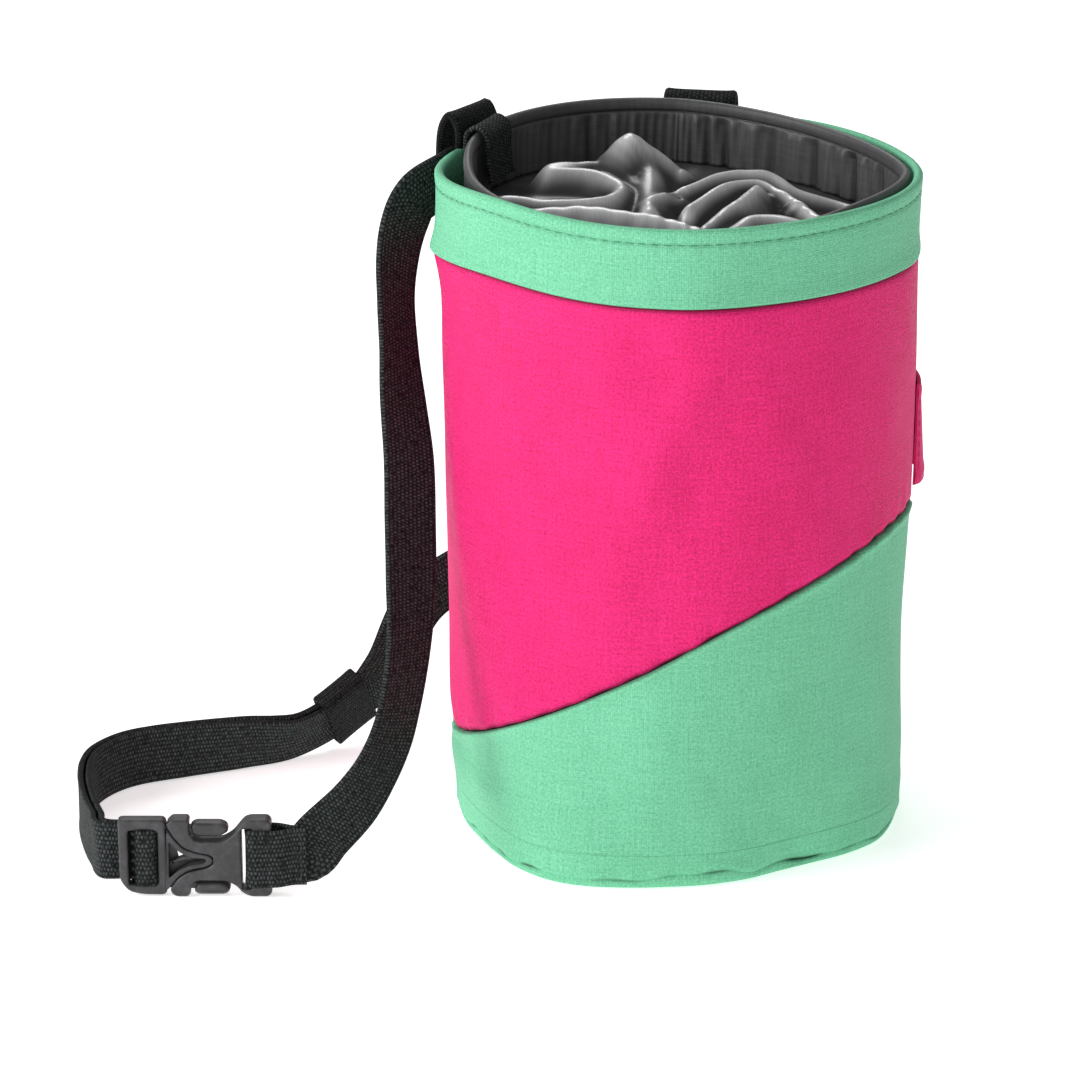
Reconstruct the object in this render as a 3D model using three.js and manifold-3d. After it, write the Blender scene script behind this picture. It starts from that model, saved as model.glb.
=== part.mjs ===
// A climbing chalk bag that stands on its round base: a cloth tube with a band folded over its rim, a stiff twist
// ring and crumpled closure cloth in the mouth, belt loops, a brush sleeve, and a waist belt laid beside it.
// Units are millimetres and +Z is up. The origin is the centre of the base on the floor, and the front faces -Y.

import * as THREE from 'three';
import { mergeVertices } from 'three/addons/utils/BufferGeometryUtils.js';
import Module from 'manifold-3d';

const wasm = await Module();
wasm.setup();

// Driving dimensions: the bag
const clearance = 0.3;
const bagHeight = 179;
const halfWidth = 62.5;
const halfDepth = 62;
const clothThickness = 2;
const bandHeight = 20.6;
const bandThickness = 2.4;
const bandFlare = 2;
const rimWave = 1.6;
const baseThickness = 2.5;
const baseTurnUp = 10;
const seamMiddle = 56;
const seamRise = 32;
const seamLean = 9;

// Driving dimensions: the twist ring and the closure cloth
const ringHeight = 17;
const ringThickness = 1.8;
const ringRuffle = 0.8;
const ringRuffles = 24;
const ringAboveRim = 1.8;
const ringTiltBack = 3;
const ringTiltLeft = 2.6;
const closureThickness = 1.2;
const closureFoldRise = 9;

// Driving dimensions: webbing
const loopWidth = 20;
const loopThickness = 1.8;
const leftLoopAboveRim = 9.5;
const rightLoopAboveRim = 5.2;
const loopDrop = 40;
const loopSlack = 4;
const tabDrop = 16;
const tabThickness = 1.2;
const tabWidth = 16;
const beltWidth = 16;
const beltThickness = 1.5;
const beltLayerGap = 0.7;
const sleeveHeight = 28;
const sleeveBottom = 93;
const sleeveSlack = 4.6;
const sleeveThickness = 1.3;
const keeperLength = 13;
const keeperThickness = 1.6;

// Driving dimensions: the buckle, which stands on its long edge
const buckleLength = 40;
const buckleWidth = 21.5;
const buckleThickness = 7;
const frameThickness = 4;
const barThickness = 2.2;
const buckleFromBag = 44.2;
const buckleForward = 1.016 * halfDepth;

const smooth = 60;
const degree = Math.PI / 180;

// Plan sections of the bag, one row a height. up is a share of bagHeight, left and right are shares of halfWidth,
// front and back are shares of halfDepth, and power is the plan's roundness, where 2 is an ellipse.
const sections = [
  { up: 0.0, left: 0.945, right: 0.965, front: 0.97, back: 0.97, power: 2.0 },
  { up: 0.055, left: 0.958, right: 0.984, front: 0.985, back: 0.98, power: 2.0 },
  { up: 0.1, left: 0.976, right: 0.982, front: 0.985, back: 0.985, power: 2.0 },
  { up: 0.134, left: 0.962, right: 0.982, front: 0.985, back: 0.985, power: 2.0 },
  { up: 0.19, left: 0.975, right: 0.98, front: 0.98, back: 0.985, power: 1.98 },
  { up: 0.33, left: 0.982, right: 0.978, front: 0.97, back: 0.985, power: 1.95 },
  { up: 0.5, left: 0.992, right: 0.998, front: 0.965, back: 0.985, power: 1.92 },
  { up: 0.7, left: 1.0, right: 1.008, front: 0.97, back: 0.99, power: 1.88 },
  { up: 0.86, left: 1.01, right: 1.006, front: 0.98, back: 1.005, power: 1.83 },
  { up: 1.0, left: 1.032, right: 1.016, front: 1.0, back: 1.032, power: 1.8 },
];

// Dents and bulges of the wall, one row each. around is degrees from the front towards the right, up is a share of
// bagHeight, wide is degrees and tall a share of bagHeight to where it fades, and push is a share of the radius.
const dents = [
  { around: -32, up: 0.0, wide: 26, tall: 0.28, push: 0.1 },
  { around: 33, up: 0.0, wide: 24, tall: 0.2, push: -0.065 },
  { around: 62, up: 0.02, wide: 18, tall: 0.16, push: 0.02 },
  { around: -8, up: 0.55, wide: 30, tall: 0.25, push: -0.012 },
  { around: 38, up: 0.45, wide: 24, tall: 0.3, push: 0.01 },
  { around: -48, up: 0.5, wide: 22, tall: 0.3, push: 0.012 },
  { around: 150, up: 0.4, wide: 34, tall: 0.3, push: -0.015 },
  { around: -140, up: 0.3, wide: 30, tall: 0.3, push: 0.012 },
];

// Lifts of the rim line, one row each: around and wide as above, and lift is a share of rimWave.
const rimLifts = [
  { around: -53, wide: 26, lift: 1.0 },
  { around: 75, wide: 30, lift: -0.35 },
  { around: 140, wide: 35, lift: 0.5 },
];

// Folds of the closure cloth, one row a ridge or a valley between two places. The places and spread are shares of
// halfWidth, x to the right and y to the back, and rise is a share of closureFoldRise.
const closureFolds = [
  { fromX: -0.2, fromY: 0.56, toX: -0.12, toY: 0.12, rise: 1.1, spread: 0.13 },
  { fromX: -0.53, fromY: 0.36, toX: -0.28, toY: 0.4, rise: 0.5, spread: 0.1 },
  { fromX: -0.28, fromY: 0.4, toX: -0.13, toY: -0.12, rise: 0.45, spread: 0.09 },
  { fromX: -0.66, fromY: -0.02, toX: -0.25, toY: 0.06, rise: 0.4, spread: 0.1 },
  { fromX: -0.6, fromY: -0.4, toX: -0.1, toY: -0.46, rise: 0.5, spread: 0.12 },
  { fromX: -0.1, fromY: -0.46, toX: 0.1, toY: -0.72, rise: 0.5, spread: 0.12 },
  { fromX: -0.1, fromY: -0.08, toX: 0.14, toY: 0.16, rise: 0.55, spread: 0.09 },
  { fromX: 0.14, fromY: 0.16, toX: 0.42, toY: 0.14, rise: 0.9, spread: 0.1 },
  { fromX: 0.42, fromY: 0.14, toX: 0.8, toY: -0.28, rise: 0.7, spread: 0.12 },
  { fromX: 0.06, fromY: -0.28, toX: 0.32, toY: -0.04, rise: 0.6, spread: 0.08 },
  { fromX: 0.32, fromY: -0.04, toX: 0.6, toY: -0.42, rise: 0.75, spread: 0.1 },
  { fromX: 0.16, fromY: -0.62, toX: 0.56, toY: -0.66, rise: 0.6, spread: 0.12 },
  { fromX: 0.03, fromY: -0.12, toX: 0.08, toY: -0.5, rise: -0.7, spread: 0.09 },
];

// Plan of the twist ring, as shares of halfWidth and halfDepth, with a rounder left side and a pointed right end.
const ringPlan = { left: 0.905, front: 0.89, back: 0.925, leftPower: 2.05, rightPower: 1.62 };

// Where things sit round the rim, in degrees from the front towards the right.
const leftLoopAround = -120;
const tabAround = -113;
const flareAround = -90;
const flareReach = 34;
const rightLoopAround = 172;
const sleeveStart = 81;
const sleeveEnd = 111;

// Smooth reading of a table's rows at a height, through each row's values.
function readRows(rows, at) {
  let next = rows.findIndex((row) => row.up > at);
  if (next < 1) next = next === 0 ? 1 : rows.length - 1;
  const low = rows[next - 1];
  const high = rows[next];
  const share = THREE.MathUtils.clamp((at - low.up) / (high.up - low.up), 0, 1);
  const before = rows[Math.max(next - 2, 0)];
  const after = rows[Math.min(next + 1, rows.length - 1)];
  const read = {};
  for (const key of Object.keys(low)) {
    const span = high.up - low.up;
    const slopeLow = (high[key] - before[key]) / (high.up - before.up || 1) * span;
    const slopeHigh = (after[key] - low[key]) / (after.up - low.up || 1) * span;
    const square = share * share;
    const cube = square * share;
    read[key] = (2 * cube - 3 * square + 1) * low[key] + (cube - 2 * square + share) * slopeLow
      + (3 * square - 2 * cube) * high[key] + (cube - square) * slopeHigh;
  }
  return read;
}

// A bell that is 1 in the middle and fades to nothing past its reach.
function bell(distance, reach) {
  return Math.exp(-1.6 * (distance / reach) ** 2);
}

// The shorter way between two bearings, in degrees.
function turnBetween(one, other) {
  return THREE.MathUtils.euclideanModulo(one - other + 180, 360) - 180;
}

// A point of a rounded plan curve at a bearing in degrees, from its four half sizes and its powers.
function planPoint(around, left, right, front, back, leftPower, rightPower) {
  const side = Math.sin(around * degree);
  const ahead = Math.cos(around * degree);
  const bend = 2 / (side < 0 ? leftPower : rightPower);
  const reachX = side < 0 ? left : right;
  const reachY = ahead > 0 ? front : back;
  return new THREE.Vector2(
    reachX * Math.sign(side) * Math.abs(side) ** bend,
    -reachY * Math.sign(ahead) * Math.abs(ahead) ** bend,
  );
}

// The outer surface of the bag's wall at a bearing and a height.
function shellPoint(around, z) {
  const up = z / bagHeight;
  const row = readRows(sections, up);
  const point = planPoint(around, row.left * halfWidth, row.right * halfWidth, row.front * halfDepth,
    row.back * halfDepth, row.power, row.power);
  let push = 0;
  for (const dent of dents) {
    push += dent.push * bell(turnBetween(around, dent.around), dent.wide) * bell(up - dent.up, dent.tall);
  }
  return point.multiplyScalar(1 + push);
}

// A plan curve's point moved out along the curve's normal, at a height.
function offsetPoint(curve, around, z, out) {
  const step = 0.5;
  const point = curve(around, z);
  const along = curve(around + step, z).sub(curve(around - step, z)).normalize();
  return new THREE.Vector3(point.x + out * along.y, point.y - out * along.x, z);
}

function wallPoint(around, z, out) {
  return offsetPoint(shellPoint, around, z, out);
}

function rimTop(around) {
  let lift = 0;
  for (const row of rimLifts) lift += row.lift * bell(turnBetween(around, row.around), row.wide);
  return bagHeight + rimWave * lift;
}

function bandBottom(around) {
  return rimTop(around) - bandHeight;
}

function slantSeam(around) {
  return seamMiddle + seamRise * Math.sin(around * degree) + seamLean * Math.cos(around * degree);
}

// The ring's outer surface in plan. Its right end rests against the inside of the rim band.
function ringCurve(around) {
  const right = shellPoint(90, bagHeight).x - bandThickness - clearance - ringRuffle;
  return planPoint(around, ringPlan.left * halfWidth, right, ringPlan.front * halfDepth,
    ringPlan.back * halfDepth, ringPlan.leftPower, ringPlan.rightPower);
}

function ringTop(around) {
  const point = ringCurve(around);
  return bagHeight + ringAboveRim + ringTiltBack * point.y / halfDepth - ringTiltLeft * point.x / halfWidth;
}

// Turns a list of corners and triangles into a geometry whose faces point out.
function solidFrom(corners, triangles) {
  let volume = 0;
  for (const [a, b, c] of triangles) {
    volume += corners[a].dot(new THREE.Vector3().crossVectors(corners[b], corners[c]));
  }
  const geometry = new THREE.BufferGeometry().setFromPoints(corners);
  geometry.setIndex(triangles.flatMap(([a, b, c]) => (volume > 0 ? [a, b, c] : [a, c, b])));
  geometry.computeVertexNormals();
  return geometry;
}

// A closed ring of cloth: profile(around) gives one closed loop of points, and the loops are joined all round.
function ringSolid(columns, profile) {
  const corners = [];
  for (let i = 0; i < columns; i += 1) corners.push(...profile(360 * i / columns));
  const count = corners.length / columns;
  const triangles = [];
  for (let i = 0; i < columns; i += 1) {
    for (let k = 0; k < count; k += 1) {
      const next = (i + 1) % columns;
      const above = (k + 1) % count;
      const square = [i * count + k, next * count + k, next * count + above, i * count + above];
      triangles.push([square[0], square[1], square[2]], [square[0], square[2], square[3]]);
    }
  }
  return solidFrom(corners, triangles);
}

// A closed round sheet: profile(around) runs from beside the low centre out to the edge and back to the high centre.
function discSolid(columns, profile, lowCentre, highCentre) {
  const corners = [];
  for (let i = 0; i < columns; i += 1) corners.push(...profile(360 * i / columns));
  const count = corners.length / columns;
  const low = corners.push(lowCentre) - 1;
  const high = corners.push(highCentre) - 1;
  const triangles = [];
  for (let i = 0; i < columns; i += 1) {
    const here = i * count;
    const next = ((i + 1) % columns) * count;
    triangles.push([low, next, here], [high, here + count - 1, next + count - 1]);
    for (let k = 0; k + 1 < count; k += 1) {
      triangles.push([here + k, next + k, next + k + 1], [here + k, next + k + 1, here + k + 1]);
    }
  }
  return solidFrom(corners, triangles);
}

// A closed slab: at(u, v, side) gives a point of its two faces, with u and v from 0 to 1 and side 0 or 1.
function slabSolid(uSteps, vSteps, at) {
  const corners = [];
  for (const side of [0, 1]) {
    for (let i = 0; i <= uSteps; i += 1) {
      for (let j = 0; j <= vSteps; j += 1) corners.push(at(i / uSteps, j / vSteps, side));
    }
  }
  const row = vSteps + 1;
  const face = (uSteps + 1) * row;
  const triangles = [];
  const square = (a, b, c, d) => triangles.push([a, b, c], [a, c, d]);
  for (let i = 0; i < uSteps; i += 1) {
    for (let j = 0; j < vSteps; j += 1) {
      const corner = i * row + j;
      square(face + corner, face + corner + row, face + corner + row + 1, face + corner + 1);
      square(corner, corner + 1, corner + row + 1, corner + row);
    }
    const start = i * row;
    const end = start + vSteps;
    square(start, start + row, face + start + row, face + start);
    square(end, face + end, face + end + row, end + row);
  }
  const last = uSteps * row;
  for (let j = 0; j < vSteps; j += 1) {
    square(j, face + j, face + j + 1, j + 1);
    square(last + j, last + j + 1, face + last + j + 1, face + last + j);
  }
  return solidFrom(corners, triangles);
}

// The smooth line through a strap's { place, across } stops, where across is the way its width points. The result
// gives its middle, the way its width points and the way out of its face at a stop's number, whole or broken.
function strapLine(stops) {
  const places = new THREE.CatmullRomCurve3(stops.map((stop) => stop.place), false, 'centripetal');
  const ways = new THREE.CatmullRomCurve3(stops.map((stop) => stop.across), false, 'centripetal');
  return (stop) => {
    const u = stop / (stops.length - 1);
    const along = places.getTangent(u);
    const across = ways.getPoint(u);
    across.addScaledVector(along, -across.dot(along)).normalize();
    return { place: places.getPoint(u), across, out: new THREE.Vector3().crossVectors(along, across) };
  };
}

// A flat strap along its stops.
function strapSolid(stops, width, thickness, stepsEach) {
  const line = strapLine(stops);
  const last = stops.length - 1;
  return slabSolid(last * stepsEach, 1, (u, v, side) => {
    const { place, across, out } = line(u * last);
    return place
      .addScaledVector(across, (v - 0.5) * width)
      .addScaledVector(out, (side - 0.5) * thickness);
  });
}

// A cloth wall between two seams, given as heights round the bag.
function wallSolid(rows, low, high, thickness) {
  return ringSolid(smooth, (around) => {
    const heights = [];
    for (let k = 0; k <= rows; k += 1) heights.push(THREE.MathUtils.lerp(low(around), high(around), k / rows));
    const outside = heights.map((z) => wallPoint(around, z, 0));
    const inside = heights.map((z) => wallPoint(around, z, -thickness));
    return [...outside, ...inside.reverse()];
  });
}

// How far the band's lower edge flares off the panel below it, at a share of the band's height.
function flareAt(around, share) {
  return bandFlare * bell(turnBetween(around, flareAround), flareReach) * (1 - share) ** 2;
}

function rimBand() {
  const edgeRound = bandThickness / 2;
  return ringSolid(smooth, (around) => {
    const bottom = bandBottom(around);
    const top = rimTop(around);
    const loop = [];
    for (const share of [0, 0.35, 0.7]) {
      const flare = flareAt(around, share);
      loop.push(wallPoint(around, bottom + share * (top - edgeRound - bottom), flare));
    }
    loop.push(wallPoint(around, top - edgeRound, 0));
    loop.push(wallPoint(around, top - edgeRound / 4, -bandThickness * 0.2));
    loop.push(wallPoint(around, top, -bandThickness / 2));
    loop.push(wallPoint(around, top - edgeRound / 4, -bandThickness * 0.8));
    for (const share of [1, 0.5, 0]) {
      const flare = flareAt(around, share);
      loop.push(wallPoint(around, bottom + share * (top - edgeRound - bottom), flare - bandThickness));
    }
    return loop;
  });
}

function bodyPanel() {
  const low = (around) => slantSeam(around) + clearance / 2;
  const high = (around) => bandBottom(around) - clearance;
  return wallSolid(7, low, high, clothThickness);
}

function lowerPanel() {
  const low = () => baseTurnUp + clearance;
  const high = (around) => slantSeam(around) - clearance / 2;
  return wallSolid(5, low, high, clothThickness);
}

// The base is a shallow dish: flat on the floor, round at its edge and turned up to the base seam.
function basePanel() {
  const flatShare = 0.93;
  const outer = (around, share, z, out) => {
    const point = wallPoint(around, z, out);
    return new THREE.Vector3(point.x * share, point.y * share, z);
  };
  const profile = (around) => [
    outer(around, flatShare * 0.6, 0, 0),
    outer(around, flatShare, 0, 0),
    outer(around, 0.972, baseTurnUp * 0.08, 0),
    outer(around, 0.995, baseTurnUp * 0.3, 0),
    outer(around, 1, baseTurnUp * 0.65, 0),
    outer(around, 1, baseTurnUp, 0),
    outer(around, 1, baseTurnUp, -baseThickness),
    outer(around, 1, baseTurnUp * 0.65, -baseThickness),
    outer(around, 0.985, baseTurnUp * 0.08 + baseThickness, -baseThickness),
    outer(around, flatShare * 0.6, baseThickness, 0),
  ];
  return discSolid(smooth, profile, new THREE.Vector3(0, 0, 0), new THREE.Vector3(0, 0, baseThickness));
}

// The ruffles of the ring's cloth below its hem, deepest at the back right.
function ruffle(around, below) {
  const strength = 0.35 + 0.65 * bell(turnBetween(around, 135), 60);
  const wave = Math.sin(ringRuffles * around * degree + 2 * Math.sin(3 * around * degree));
  return ringRuffle * strength * wave * Math.min(1, below * 3);
}

function twistRing() {
  const columns = 96;
  const heights = [1, 0.55, 0.16, 0];
  return ringSolid(columns, (around) => {
    const top = ringTop(around);
    const outside = heights.map((below) => (
      offsetPoint(ringCurve, around, top - below * ringHeight, ruffle(around, below))));
    const inside = heights.map((below) => (
      offsetPoint(ringCurve, around, top - below * ringHeight, ruffle(around, below) - ringThickness)));
    return [...outside, ...inside.reverse()];
  });
}

// The height that the closure cloth's folds add at a place, as the tallest ridge and the deepest valley there.
function foldHeight(x, y) {
  let ridge = 0;
  let valley = 0;
  for (const fold of closureFolds) {
    const from = new THREE.Vector2(fold.fromX, fold.fromY).multiplyScalar(halfWidth);
    const to = new THREE.Vector2(fold.toX, fold.toY).multiplyScalar(halfWidth);
    const way = to.clone().sub(from);
    const here = new THREE.Vector2(x, y).sub(from);
    const share = THREE.MathUtils.clamp(here.dot(way) / way.lengthSq(), 0, 1);
    const distance = here.sub(way.multiplyScalar(share)).length();
    const rise = fold.rise * bell(distance, fold.spread * halfWidth);
    if (rise > 0) ridge = Math.max(ridge, rise);
    else valley = Math.min(valley, rise);
  }
  return closureFoldRise * (ridge + valley);
}

// The closure cloth fills the ring, passes under the ring's lower edge and is held at the bag's wall.
function closure() {
  const columns = 48;
  const shares = [0.12, 0.25, 0.38, 0.5, 0.62, 0.74, 0.86, 0.95];
  const middle = bagHeight - 0.055 * bagHeight;
  const inner = (around) => offsetPoint(ringCurve, around, 0, -ringThickness - clearance - ringRuffle);
  const top = (around, share) => {
    const edge = inner(around);
    const edgeHeight = ringTop(around) - ringHeight - clearance;
    const settle = 1 - share ** 6;
    const x = edge.x * share;
    const y = edge.y * share;
    return new THREE.Vector3(x, y, THREE.MathUtils.lerp(edgeHeight, middle + foldHeight(x, y), settle));
  };
  const profile = (around) => {
    const upper = shares.map((share) => top(around, share));
    const under = ringTop(around) - ringHeight - clearance;
    const atRing = inner(around).setZ(under);
    const wall = wallPoint(around, under, -bandThickness - clearance);
    upper.push(atRing, wall);
    const lower = upper.map((point) => point.clone().setZ(point.z - closureThickness));
    return [...lower, ...upper.reverse()];
  };
  const centre = new THREE.Vector3(0, 0, middle + foldHeight(0, 0));
  return discSolid(columns, profile, centre.clone().setZ(centre.z - closureThickness), centre);
}

// A webbing loop that comes out of the rim's fold, arches over and is sewn down outside, with slack for the belt.
function beltLoop(around, aboveRim) {
  const half = loopThickness / 2;
  const rim = rimTop(around);
  const rows = [
    { out: -bandThickness / 2, z: rim + clearance * 2 },
    { out: -bandThickness / 2, z: rim + aboveRim * 0.55 },
    { out: loopSlack * 0.3, z: rim + aboveRim - half },
    { out: loopSlack * 0.9, z: rim + aboveRim * 0.6 },
    { out: loopSlack + half, z: rim - loopDrop * 0.1 },
    { out: loopSlack + half, z: rim - loopDrop * 0.64 },
    { out: loopSlack * 0.6 + half, z: rim - loopDrop * 0.78 },
    { out: clearance + half, z: rim - loopDrop * 0.89 },
    { out: clearance + half, z: rim - loopDrop },
  ];
  const low = wallPoint(around, rim, 0);
  const outward = wallPoint(around, rim, 1).sub(low);
  const across = new THREE.Vector3(-outward.y, outward.x, 0);
  const stops = rows.map((row) => ({
    place: wallPoint(around, Math.min(row.z, rim), 0).addScaledVector(outward, row.out).setZ(row.z),
    across,
  }));
  return strapSolid(stops, loopWidth, loopThickness, 2);
}

// The tab is a short webbing folded over the ring's top edge, with its long leg hanging inside.
function ringTab() {
  const half = tabThickness / 2;
  const around = tabAround;
  const top = ringTop(around);
  const sag = tabWidth ** 2 / (8 * halfWidth);
  const outside = clearance + half;
  const inside = -ringThickness - ringRuffle - clearance - sag - half;
  const middle = (outside + inside) / 2;
  const rows = [
    { out: outside + ringRuffle, z: top - 4 },
    { out: outside + 0.3, z: top },
    { out: middle, z: top + clearance + half + 1.2 },
    { out: inside - 0.2, z: top },
    { out: inside - 0.6, z: top - tabDrop * 0.35 },
    { out: inside - 1.2, z: top - tabDrop * 0.7 },
  ];
  const outward = offsetPoint(ringCurve, around, top, 1).sub(offsetPoint(ringCurve, around, top, 0));
  const across = new THREE.Vector3(-outward.y, outward.x, 0);
  const stops = rows.map((row) => ({ place: offsetPoint(ringCurve, around, row.z, row.out), across }));
  return strapSolid(stops, tabWidth, tabThickness, 2);
}

// The brush sleeve is a cloth strip sewn along its two upright edges, standing off the wall most at its lower end.
function brushLoop() {
  return slabSolid(12, 3, (u, v, side) => {
    const around = THREE.MathUtils.lerp(sleeveStart, sleeveEnd, u);
    const z = sleeveBottom + sleeveHeight * v;
    const slack = sleeveSlack * (1 - 0.55 * v) * Math.sin(Math.PI * u) ** 0.7;
    return wallPoint(around, z, clearance + slack + side * sleeveThickness);
  });
}

// Where the buckle's left end stands, and the buckle's own axes: x along it, y to its back and z up its width.
const buckleLeft = -halfWidth - buckleFromBag - buckleLength;

function atBuckle(x, y, z) {
  return new THREE.Vector3(buckleLeft + x, -buckleForward + y, buckleWidth / 2 + z);
}

const upright = new THREE.Vector3(0, 0, 1);
const slotAt = { female: 33.7, inner: 9.6, outer: 4 };
const ladderAt = 6.8;
const barHalf = 1.1;

// Part of the belt's route that is fixed by the buckle's far bar: the sewn end goes round that bar.
function sewnEndStops() {
  const layer = beltThickness / 2 + clearance / 2;
  const round = frameThickness / 2 + clearance + beltThickness / 2;
  const rows = [
    { x: buckleLength + 9, y: -layer },
    { x: buckleLength + 5.5, y: -layer - 0.2 },
    { x: buckleLength + 1.6, y: -round + 0.3 },
    { x: buckleLength - 1.5, y: -round },
    { x: slotAt.female + 1, y: -round },
    { x: slotAt.female, y: 0 },
    { x: slotAt.female + 1, y: round },
    { x: buckleLength - 1.5, y: round },
    { x: buckleLength + 1.6, y: round - 0.3 },
    { x: buckleLength + 5.5, y: layer + 0.2 },
    { x: buckleLength + 9, y: layer },
  ];
  return rows.map((row) => ({ place: atBuckle(row.x, row.y, 0), across: upright }));
}

// The belt's free route, chosen by hand. out is the distance left of the bag's side, forward is a share of
// halfDepth towards the front and up a share of bagHeight. Its width points along (acrossX, acrossY, acrossZ).
const riseRoute = [
  { out: 31, forward: 0.99, up: 0.086, acrossX: -0.3, acrossY: 0, acrossZ: 1 },
  { out: 22.6, forward: 0.935, up: 0.13, acrossX: -0.75, acrossY: -0.1, acrossZ: 0.85 },
  { out: 17.2, forward: 0.855, up: 0.168, acrossX: -0.9, acrossY: -0.2, acrossZ: 0.6 },
  { out: 13.1, forward: 0.758, up: 0.212, acrossX: -1, acrossY: -0.3, acrossZ: 0.4 },
  { out: 10.6, forward: 0.66, up: 0.263, acrossX: -1, acrossY: -0.4, acrossZ: 0.2 },
  { out: 8.8, forward: 0.53, up: 0.332, acrossX: -0.95, acrossY: -0.5, acrossZ: 0.1 },
  { out: 8.4, forward: 0.387, up: 0.408, acrossX: -0.9, acrossY: -0.55, acrossZ: 0 },
  { out: 8.7, forward: 0.242, up: 0.485, acrossX: -0.85, acrossY: -0.6, acrossZ: 0 },
  { out: 9.1, forward: 0.129, up: 0.565, acrossX: -0.8, acrossY: -0.65, acrossZ: 0 },
  { out: 10.7, forward: 0.032, up: 0.648, acrossX: -0.75, acrossY: -0.7, acrossZ: 0 },
  { out: 11.8, forward: -0.065, up: 0.716, acrossX: -0.65, acrossY: -0.75, acrossZ: 0.05 },
  { out: 12.6, forward: -0.129, up: 0.787, acrossX: -0.6, acrossY: -0.75, acrossZ: 0.1 },
  { out: 12, forward: -0.165, up: 0.853, acrossX: -0.62, acrossY: -0.65, acrossZ: 0.3 },
  { out: 10.2, forward: -0.19, up: 0.9, acrossX: -0.6, acrossY: -0.5, acrossZ: 0.6 },
  { out: 7.4, forward: -0.225, up: 0.932, acrossX: -0.35, acrossY: -0.3, acrossZ: 0.9 },
];

// The belt behind the bag, chosen by hand. around is a bearing, out is the distance off the wall in millimetres,
// and up is a share of bagHeight. It goes through both loops, hangs in a bight and comes back to the left.
const backRoute = [
  { around: -110, out: 3.4, up: 0.95, acrossOut: 0, acrossZ: 1 },
  { around: -120, out: 2.4, up: 0.953, acrossOut: 0, acrossZ: 1 },
  { around: -136, out: 2, up: 0.948, acrossOut: 0, acrossZ: 1 },
  { around: -155, out: 2, up: 0.938, acrossOut: 0, acrossZ: 1 },
  { around: 188, out: 2, up: 0.928, acrossOut: 0, acrossZ: 1 },
  { around: 172, out: 2.1, up: 0.918, acrossOut: 0, acrossZ: 1 },
  { around: 160, out: 2.8, up: 0.903, acrossOut: 0, acrossZ: 1 },
  { around: 150, out: 5.5, up: 0.875, acrossOut: 0.25, acrossZ: 1 },
  { around: 142, out: 9.5, up: 0.83, acrossOut: 0.6, acrossZ: 0.75 },
  { around: 136, out: 12.5, up: 0.765, acrossOut: 0.95, acrossZ: 0.3 },
  { around: 133.5, out: 14, up: 0.69, acrossOut: 1, acrossZ: 0 },
  { around: 134, out: 14, up: 0.615, acrossOut: 1, acrossZ: -0.1 },
  { around: 138, out: 13, up: 0.55, acrossOut: 1, acrossZ: -0.35 },
  { around: 146, out: 11, up: 0.495, acrossOut: 0.8, acrossZ: -0.65 },
  { around: 157, out: 8.5, up: 0.455, acrossOut: 0.45, acrossZ: -0.9 },
  { around: 170, out: 6, up: 0.425, acrossOut: 0.2, acrossZ: -1 },
  { around: 187, out: 4, up: 0.395, acrossOut: 0, acrossZ: -1 },
  { around: 204, out: 3.6, up: 0.36, acrossOut: 0, acrossZ: -1 },
  { around: 217, out: 7, up: 0.318, acrossOut: 0, acrossZ: -1 },
];

// The belt's way down from behind the bag to the floor and round to the buckle, with columns as in riseRoute.
// floor marks the rows where the strap stands on its edge on the floor.
const returnRoute = [
  { out: 6.5, forward: -0.79, up: 0.235, acrossX: 0.3, acrossY: 0, acrossZ: -1 },
  { out: 18, forward: -0.7, up: 0.125, acrossX: 0.35, acrossY: 0, acrossZ: -1 },
  { out: 29.5, forward: -0.6, up: 0.07, acrossX: 0.15, acrossY: 0, acrossZ: -1 },
  { out: 42, forward: -0.47, floor: true },
  { out: 56, forward: -0.37, floor: true },
  { out: 72, forward: -0.28, floor: true },
  { out: 87, forward: -0.17, floor: true },
  { out: 95.5, forward: 0.02, floor: true },
  { out: 98.5, forward: 0.28, floor: true },
  { out: 98, forward: 0.55, floor: true },
  { out: 94.5, forward: 0.78, up: 0.0515, acrossX: 0, acrossY: 0, acrossZ: -1 },
];

function freeStops(rows) {
  return rows.map((row) => ({
    place: new THREE.Vector3(-halfWidth - row.out, -row.forward * halfDepth,
      row.floor ? beltWidth / 2 + clearance : row.up * bagHeight),
    across: row.floor ? new THREE.Vector3(0, 0, -1) : new THREE.Vector3(row.acrossX, row.acrossY, row.acrossZ),
  }));
}

function backStops() {
  return backRoute.map((row) => {
    const z = row.up * bagHeight;
    const place = wallPoint(row.around, z, row.out);
    const outward = wallPoint(row.around, z, row.out + 1).sub(place);
    return { place, across: outward.multiplyScalar(row.acrossOut).setZ(row.acrossZ) };
  });
}

// The belt's other end goes behind the buckle's end bar, up through the inner slot and over the ladder bar.
function ladderEndStops() {
  const behind = frameThickness / 2 + clearance * 2 + beltThickness * 1.5;
  const over = barThickness / 2 + clearance + beltThickness / 2;
  const rows = [
    { x: -3.2, y: behind + 0.4 },
    { x: 2, y: behind },
    { x: slotAt.outer + 2, y: behind },
    { x: slotAt.inner - 0.6, y: behind - 1.6 },
    { x: slotAt.inner, y: 0 },
    { x: slotAt.inner - 0.9, y: -over * 0.85 },
    { x: ladderAt, y: -over },
    { x: slotAt.outer + 0.6, y: -over * 0.75 },
  ];
  return rows.map((row) => ({ place: atBuckle(row.x, row.y, 0), across: new THREE.Vector3(0, 0, -1) }));
}

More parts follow.
